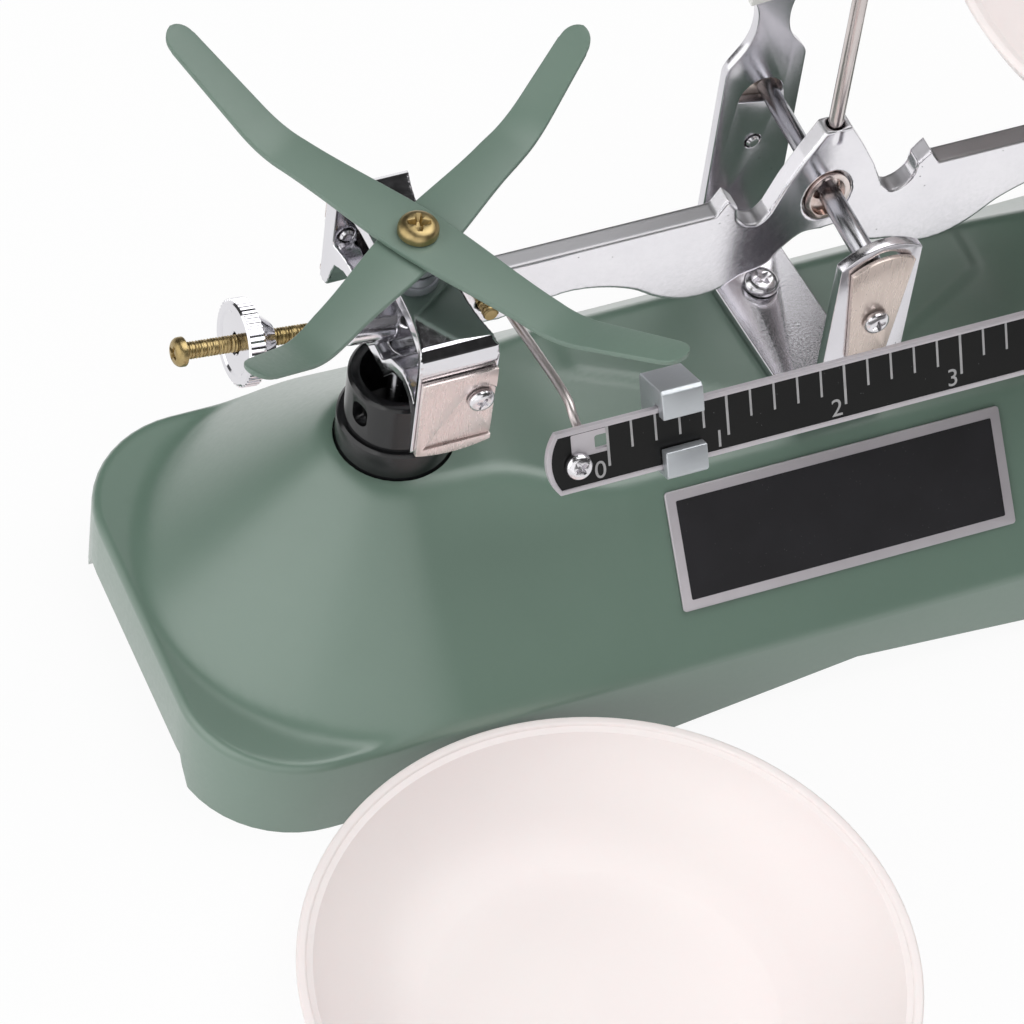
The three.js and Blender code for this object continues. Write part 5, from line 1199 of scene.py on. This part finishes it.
def cheekCover(name, end, place):
    # a thin plate with a tear-shaped recess round its screw, and the cut edge of a film beside it
    k, half, low = cheek, carrier.half - cheek.sideGap, carrier.footZ + cheek.crown
    high = carrier.topZ - carrier.bendDrop - k.top
    t, w, x, z, front = k.tear, k.line, k.screwX, k.screwZ, -k.thickness - past
    outline = [*curvePoints((-half, low), (0, low - k.crown * 2), (half, low), 20),
               (half, high), (-half, high)]
    piece = prism(name + end + "CheekPlate", [outline], -k.thickness, 0, "y")
    loop = [(half + 3, z), (x + t, z), *arcPoints((x, z), t, 0, pi * k.tearTurn, 20),
            (-half + t / 3, low + t / 3), (half + 3, low + t / 3)]
    inside = [(half + 2, z - w), (x + t - w, z - w), *arcPoints((x, z), t - w, 0, pi * k.tearTurn, 20),
              (-half + t / 3 + w * 2.2, low + t / 3 + w), (half + 2, low + t / 3 + w)]
    groove = prism("groove", [loop], front, k.recess - k.thickness, "y")
    line = prism("tearLine", [loop, inside], front, -k.thickness * k.lineDepth, "y")
    cutWith(piece, groove, line, rod("hole", drill, -4, 3, "y", (x, z)))
    moved(bevelled(piece, k.edge, 2), place)
    settle(piece, name + "_hanger", "rose_plate", "rosePlate", f"{name}_{end.lower()}_cheek_cover")


def armRise(distance, rise):
    beyond = max(distance - strip.bendStart, 0)
    bending = min(beyond, strip.bendLength)
    return rise * (bending * bending / (2 * strip.bendLength) + beyond - bending)


def armHalfWidth(distance, reach):
    middle, tip, toTip = reach / 2, strip.tipHalf, reach - distance
    if distance < middle:
        taper = lerp(strip.centreHalf, strip.armHalf, smoothStep(distance, 0, middle))
    else:
        taper = lerp(strip.armHalf, tip, (distance - middle) / (reach - middle))
    return taper if toTip >= tip else min(taper, sqrt(max(tip ** 2 - (tip - toTip) ** 2, 0)))


def armPiece(name, part, side):
    # a flat strip with rounded edges, swept along its own bend
    t, r, steps, reach = strip, strip.edgeRound, strip.steps, strip[part + "Reach"]
    verts, faces = [], []
    for i in range(steps + 1):
        share = 2 * i / steps - 1
        place = copysign(reach * (1 - (1 - abs(share)) ** t.crowding), share)
        half = max(armHalfWidth(abs(place), reach), t.least)
        edge, z = min(r, half * 0.6), armRise(abs(place), strip[part + "Rise"])
        upper = t.thickness - r
        corners = ((half - edge, upper), (edge - half, upper), (edge - half, r), (half - edge, r))
        for quarter, (y, up) in enumerate(corners):
            verts += [(place, y + out * edge, z + up + rise * r)
                      for out, rise in arcPoints((0, 0), 1, quarter * pi / 2, (quarter + 1) * pi / 2, 3)]
    ring = len(verts) // (steps + 1)
    for a in range(0, len(verts) - ring, ring):
        faces += [(a + i, a + ring + i, a + ring + k, a + k) for i, k in around(ring)]
    faces += [tuple(range(ring)), tuple(range(len(verts) - ring, len(verts)))]
    piece = outwards(newObject(name, verts, faces))
    cutWith(piece, rod("hole", crossScrew.shank + play, -past, t.thickness + past))
    return moved(piece, shift(side * shell.arm, 0, crossStack[part + "StripZ"])
                 @ Matrix.Rotation(radians(strip[part + "Turn"]), 4, "Z"))


def makeHanger(name, side):
    body, x, s, parts, screws = name + "_hanger", side * shell.arm, crossStack, ("lower", "upper"), []
    makeCarrier(name, side)
    for end, facing in (("Front", -1), ("Rear", 1)):
        place = shift(x) @ halfTurn(facing) @ shift(y=-carrier.faceY - cheek.seat)
        cheekCover(name, end, place)
        seat = place @ Vector((cheek.screwX, -cheek.thickness - cheek.seat + cheek.recess, cheek.screwZ))
        screws.append((seat, (0, facing, 0), 25 * facing))
    setScrews(name + "CheekScrews", smallShape, screws, body, "zinc", "screwChrome",
              name + "_front_cheek_screw", name + "_rear_cheek_screw")
    bore, r, w, c = crossScrew.shank + play, s.washerRadius, s.washer, s.washerChamfer
    washer = [(bore, 0), (r - c, 0), (r, c), (r, w - c), (r - c, w), (bore, w), (bore, 0)]
    for part in parts:
        piece = turnedRing(name + part.title() + "Washer", washer, 56)
        moved(piece, shift(x, 0, s[part + "WasherZ"]))
        settle(piece, body, "zinc", "zinc", f"{name}_{part}_washer")
    for part in parts:
        piece = armPiece(name + part.title() + "Arm", part, side)
        settle(piece, body, "arm_paint", "armEnamel", f"{name}_{part}_strip")
    setScrews(name + "CrossScrew", crossShape, [((x, 0, s.headZ), upright, 12 + 30 * side)], body, "brass",
              "brass", name + "_cross_screw")
    at, half = (x, stem.pinZ), stem.eyeThickness / 2
    bar = rod(name + "StemBar", stem.radius, stem.pinZ, stem.topZ, at=(x, 0))
    joinWith(bar, rod("eye", stem.eyeRadius, -half, half, "y", at))
    cutWith(bar, rod("hole", stem.pinRadius + play, -through, through, "y", at))
    settle(bevelled(bar, stem.edge), body, "steel", "steel", name + "_stem")


for name, side in sides:
    makeHanger(name, side)
print("hangers made")


# The dish pans

pan = Sizes(radius=50.4, height=16.6, wall=1.7, foot=29.0, lip=0.5, sides=160, rings=(12.0, 24.0),
            curve=[(0, 0), (0.24, 0.092), (0.476, 0.246), (0.714, 0.477), (0.88, 0.723), (0.98, 0.938)])


def panProfile():
    p, wall, high, lip = pan, pan.wall, pan.height, pan.lip
    under = splineThrough([(lerp(p.foot, p.radius, out), high * up) for out, up in p.curve], 7)
    inside = [(r - wall * (z / high), z + wall) for r, z in under if z + wall < high - lip * 1.6]
    edge = arcPoints((p.radius - lip, high - lip), lip, 0, pi / 2, 5)
    edge += arcPoints((p.radius - wall + lip, high - lip), lip, pi / 2, pi, 5)
    return [(0, 0), *[(r, 0) for r in p.rings], *under, (p.radius, high - lip), *edge, *reversed(inside),
            *[(r, wall) for r in reversed(p.rings)], (0, wall)]


for name, side in sides:
    piece = lathe(name + "DishPan", panProfile(), pan.sides)
    low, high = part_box(name + "_pan")
    middle = Vector(((low.x + high.x) / 2, (low.y + high.y) / 2, low.z))
    moved(piece, toFrame.inverted() @ Matrix.Translation(middle) @ Matrix.Scale(millimetre, 4))
    settle(piece, name + "_pan", "pan_plastic", "panPlastic", name + "_pan", angle=40)
print("pans made")

for shape in (smallShape, floorShape, crossShape):
    bpy.data.objects.remove(shape)
# the pins and the stay inside the base stay CAD solids
for node in ("left_stem_pin", "right_stem_pin", "stay_link", "stay_pivot_pin"):
    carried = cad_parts[node].data.materials
    carried.clear()
    carried.append(finishes["steel"])


# Floor, light and camera

stage = Sizes(floorHalf=3.0, white=0.86, glow=0.94, aimZ=0.05, upwards=(0.1, 0.8), upLight=(1.6, 0.35),
              across=(-0.6, 0.7), acrossLight=(1.0, 0.95))
camera = Sizes(azimuth=28.95, elevation=50.35, roll=8.35, lens=196.875, sensor=36.0, near=0.05, far=20,
               place=(-341.4, -529.5, 748.76))
lamps = [Sizes(name="leftSoftbox", place=(-1.15, 0.05, 0.45), size=1.5, power=12.0),
         Sizes(name="frontSoftbox", place=(-0.55, -1.15, 0.45), size=1.5, power=8.0),
         Sizes(name="topSoftbox", place=(0.5, 0.1, 1.3), size=1.4, power=17.0)]


def makeFloor():
    # lit like paper, but white to the camera and in reflections, with the object's shadow left on it
    half = stage.floorHalf
    corners = [(-half, -half, 0), (half, -half, 0), (half, half, 0), (-half, half, 0)]
    floor = newObject("floor", corners, [(0, 1, 2, 3)])
    material, tree, add, shader = newMaterial("paleFloor")
    for socket, value in (("Base Color", (stage.white,) * 3 + (1.0,)), ("Roughness", 0.9),
                          ("Specular IOR Level", 0.0)):
        shader[socket].default_value = value
    rays = add("ShaderNodeLightPath").outputs
    seen = reckon(add, "MAXIMUM", rays["Is Camera Ray"], rays["Is Glossy Ray"])
    glow = add("ShaderNodeEmission", {"Strength": 1.0})
    blend = add("ShaderNodeMixShader", {
        0: reckon(add, "MULTIPLY", seen, stage.glow), 1: tree.nodes["Principled BSDF"], 2: glow})
    feed(tree, tree.nodes["Material Output"].inputs["Surface"], blend)
    floor.data.materials.append(material)


def makeWorld():
    # brighter low down than overhead, and white wherever the camera sees it
    world = bpy.data.worlds.new("studio")
    bpy.context.scene.world = world
    world.use_nodes = True
    tree = world.node_tree
    add = partial(addNode, tree)
    parts = add("ShaderNodeSeparateXYZ", {0: add("ShaderNodeTexCoord").outputs["Generated"]}).outputs
    height = remap(add, parts[2], *stage.upwards, *stage.upLight)
    across = remap(add, parts[0], *stage.across, *stage.acrossLight)
    seen = add("ShaderNodeLightPath").outputs["Is Camera Ray"]
    level = between(add, seen, reckon(add, "MULTIPLY", height, across), 1.0)
    feed(tree, tree.nodes["Background"].inputs["Strength"], level)


def makeLamps():
    for lamp in lamps:
        light = bpy.data.lights.new(lamp.name, "AREA")
        light.size, light.energy = lamp.size, lamp.power
        obj = linked(lamp.name, light)
        obj.location = lamp.place
        obj.rotation_euler = (Vector((0, 0, stage.aimZ)) - obj.location).to_track_quat("-Z", "Y").to_euler()


def makeCamera():
    lens = bpy.data.cameras.new("camera")
    lens.lens, lens.sensor_width = camera.lens, camera.sensor
    lens.clip_start, lens.clip_end = camera.near, camera.far
    obj = linked("camera", lens)
    az, el, roll = (radians(camera[k]) for k in ("azimuth", "elevation", "roll"))
    ahead = Vector((sin(az) * cos(el), cos(az) * cos(el), -sin(el)))
    level = Vector((cos(az), -sin(az), 0))
    above = level.cross(ahead)
    right, up = level * cos(roll) + above * sin(roll), above * cos(roll) - level * sin(roll)
    turn = Matrix((right, up, -ahead)).transposed().to_4x4()
    obj.matrix_world = Matrix.Translation(toFrame @ Vector(camera.place)) @ turn
    bpy.context.scene.camera = obj


makeFloor()
makeWorld()
makeLamps()
makeCamera()
bpy.context.scene.view_settings.view_transform = "Standard"
print("stage made")
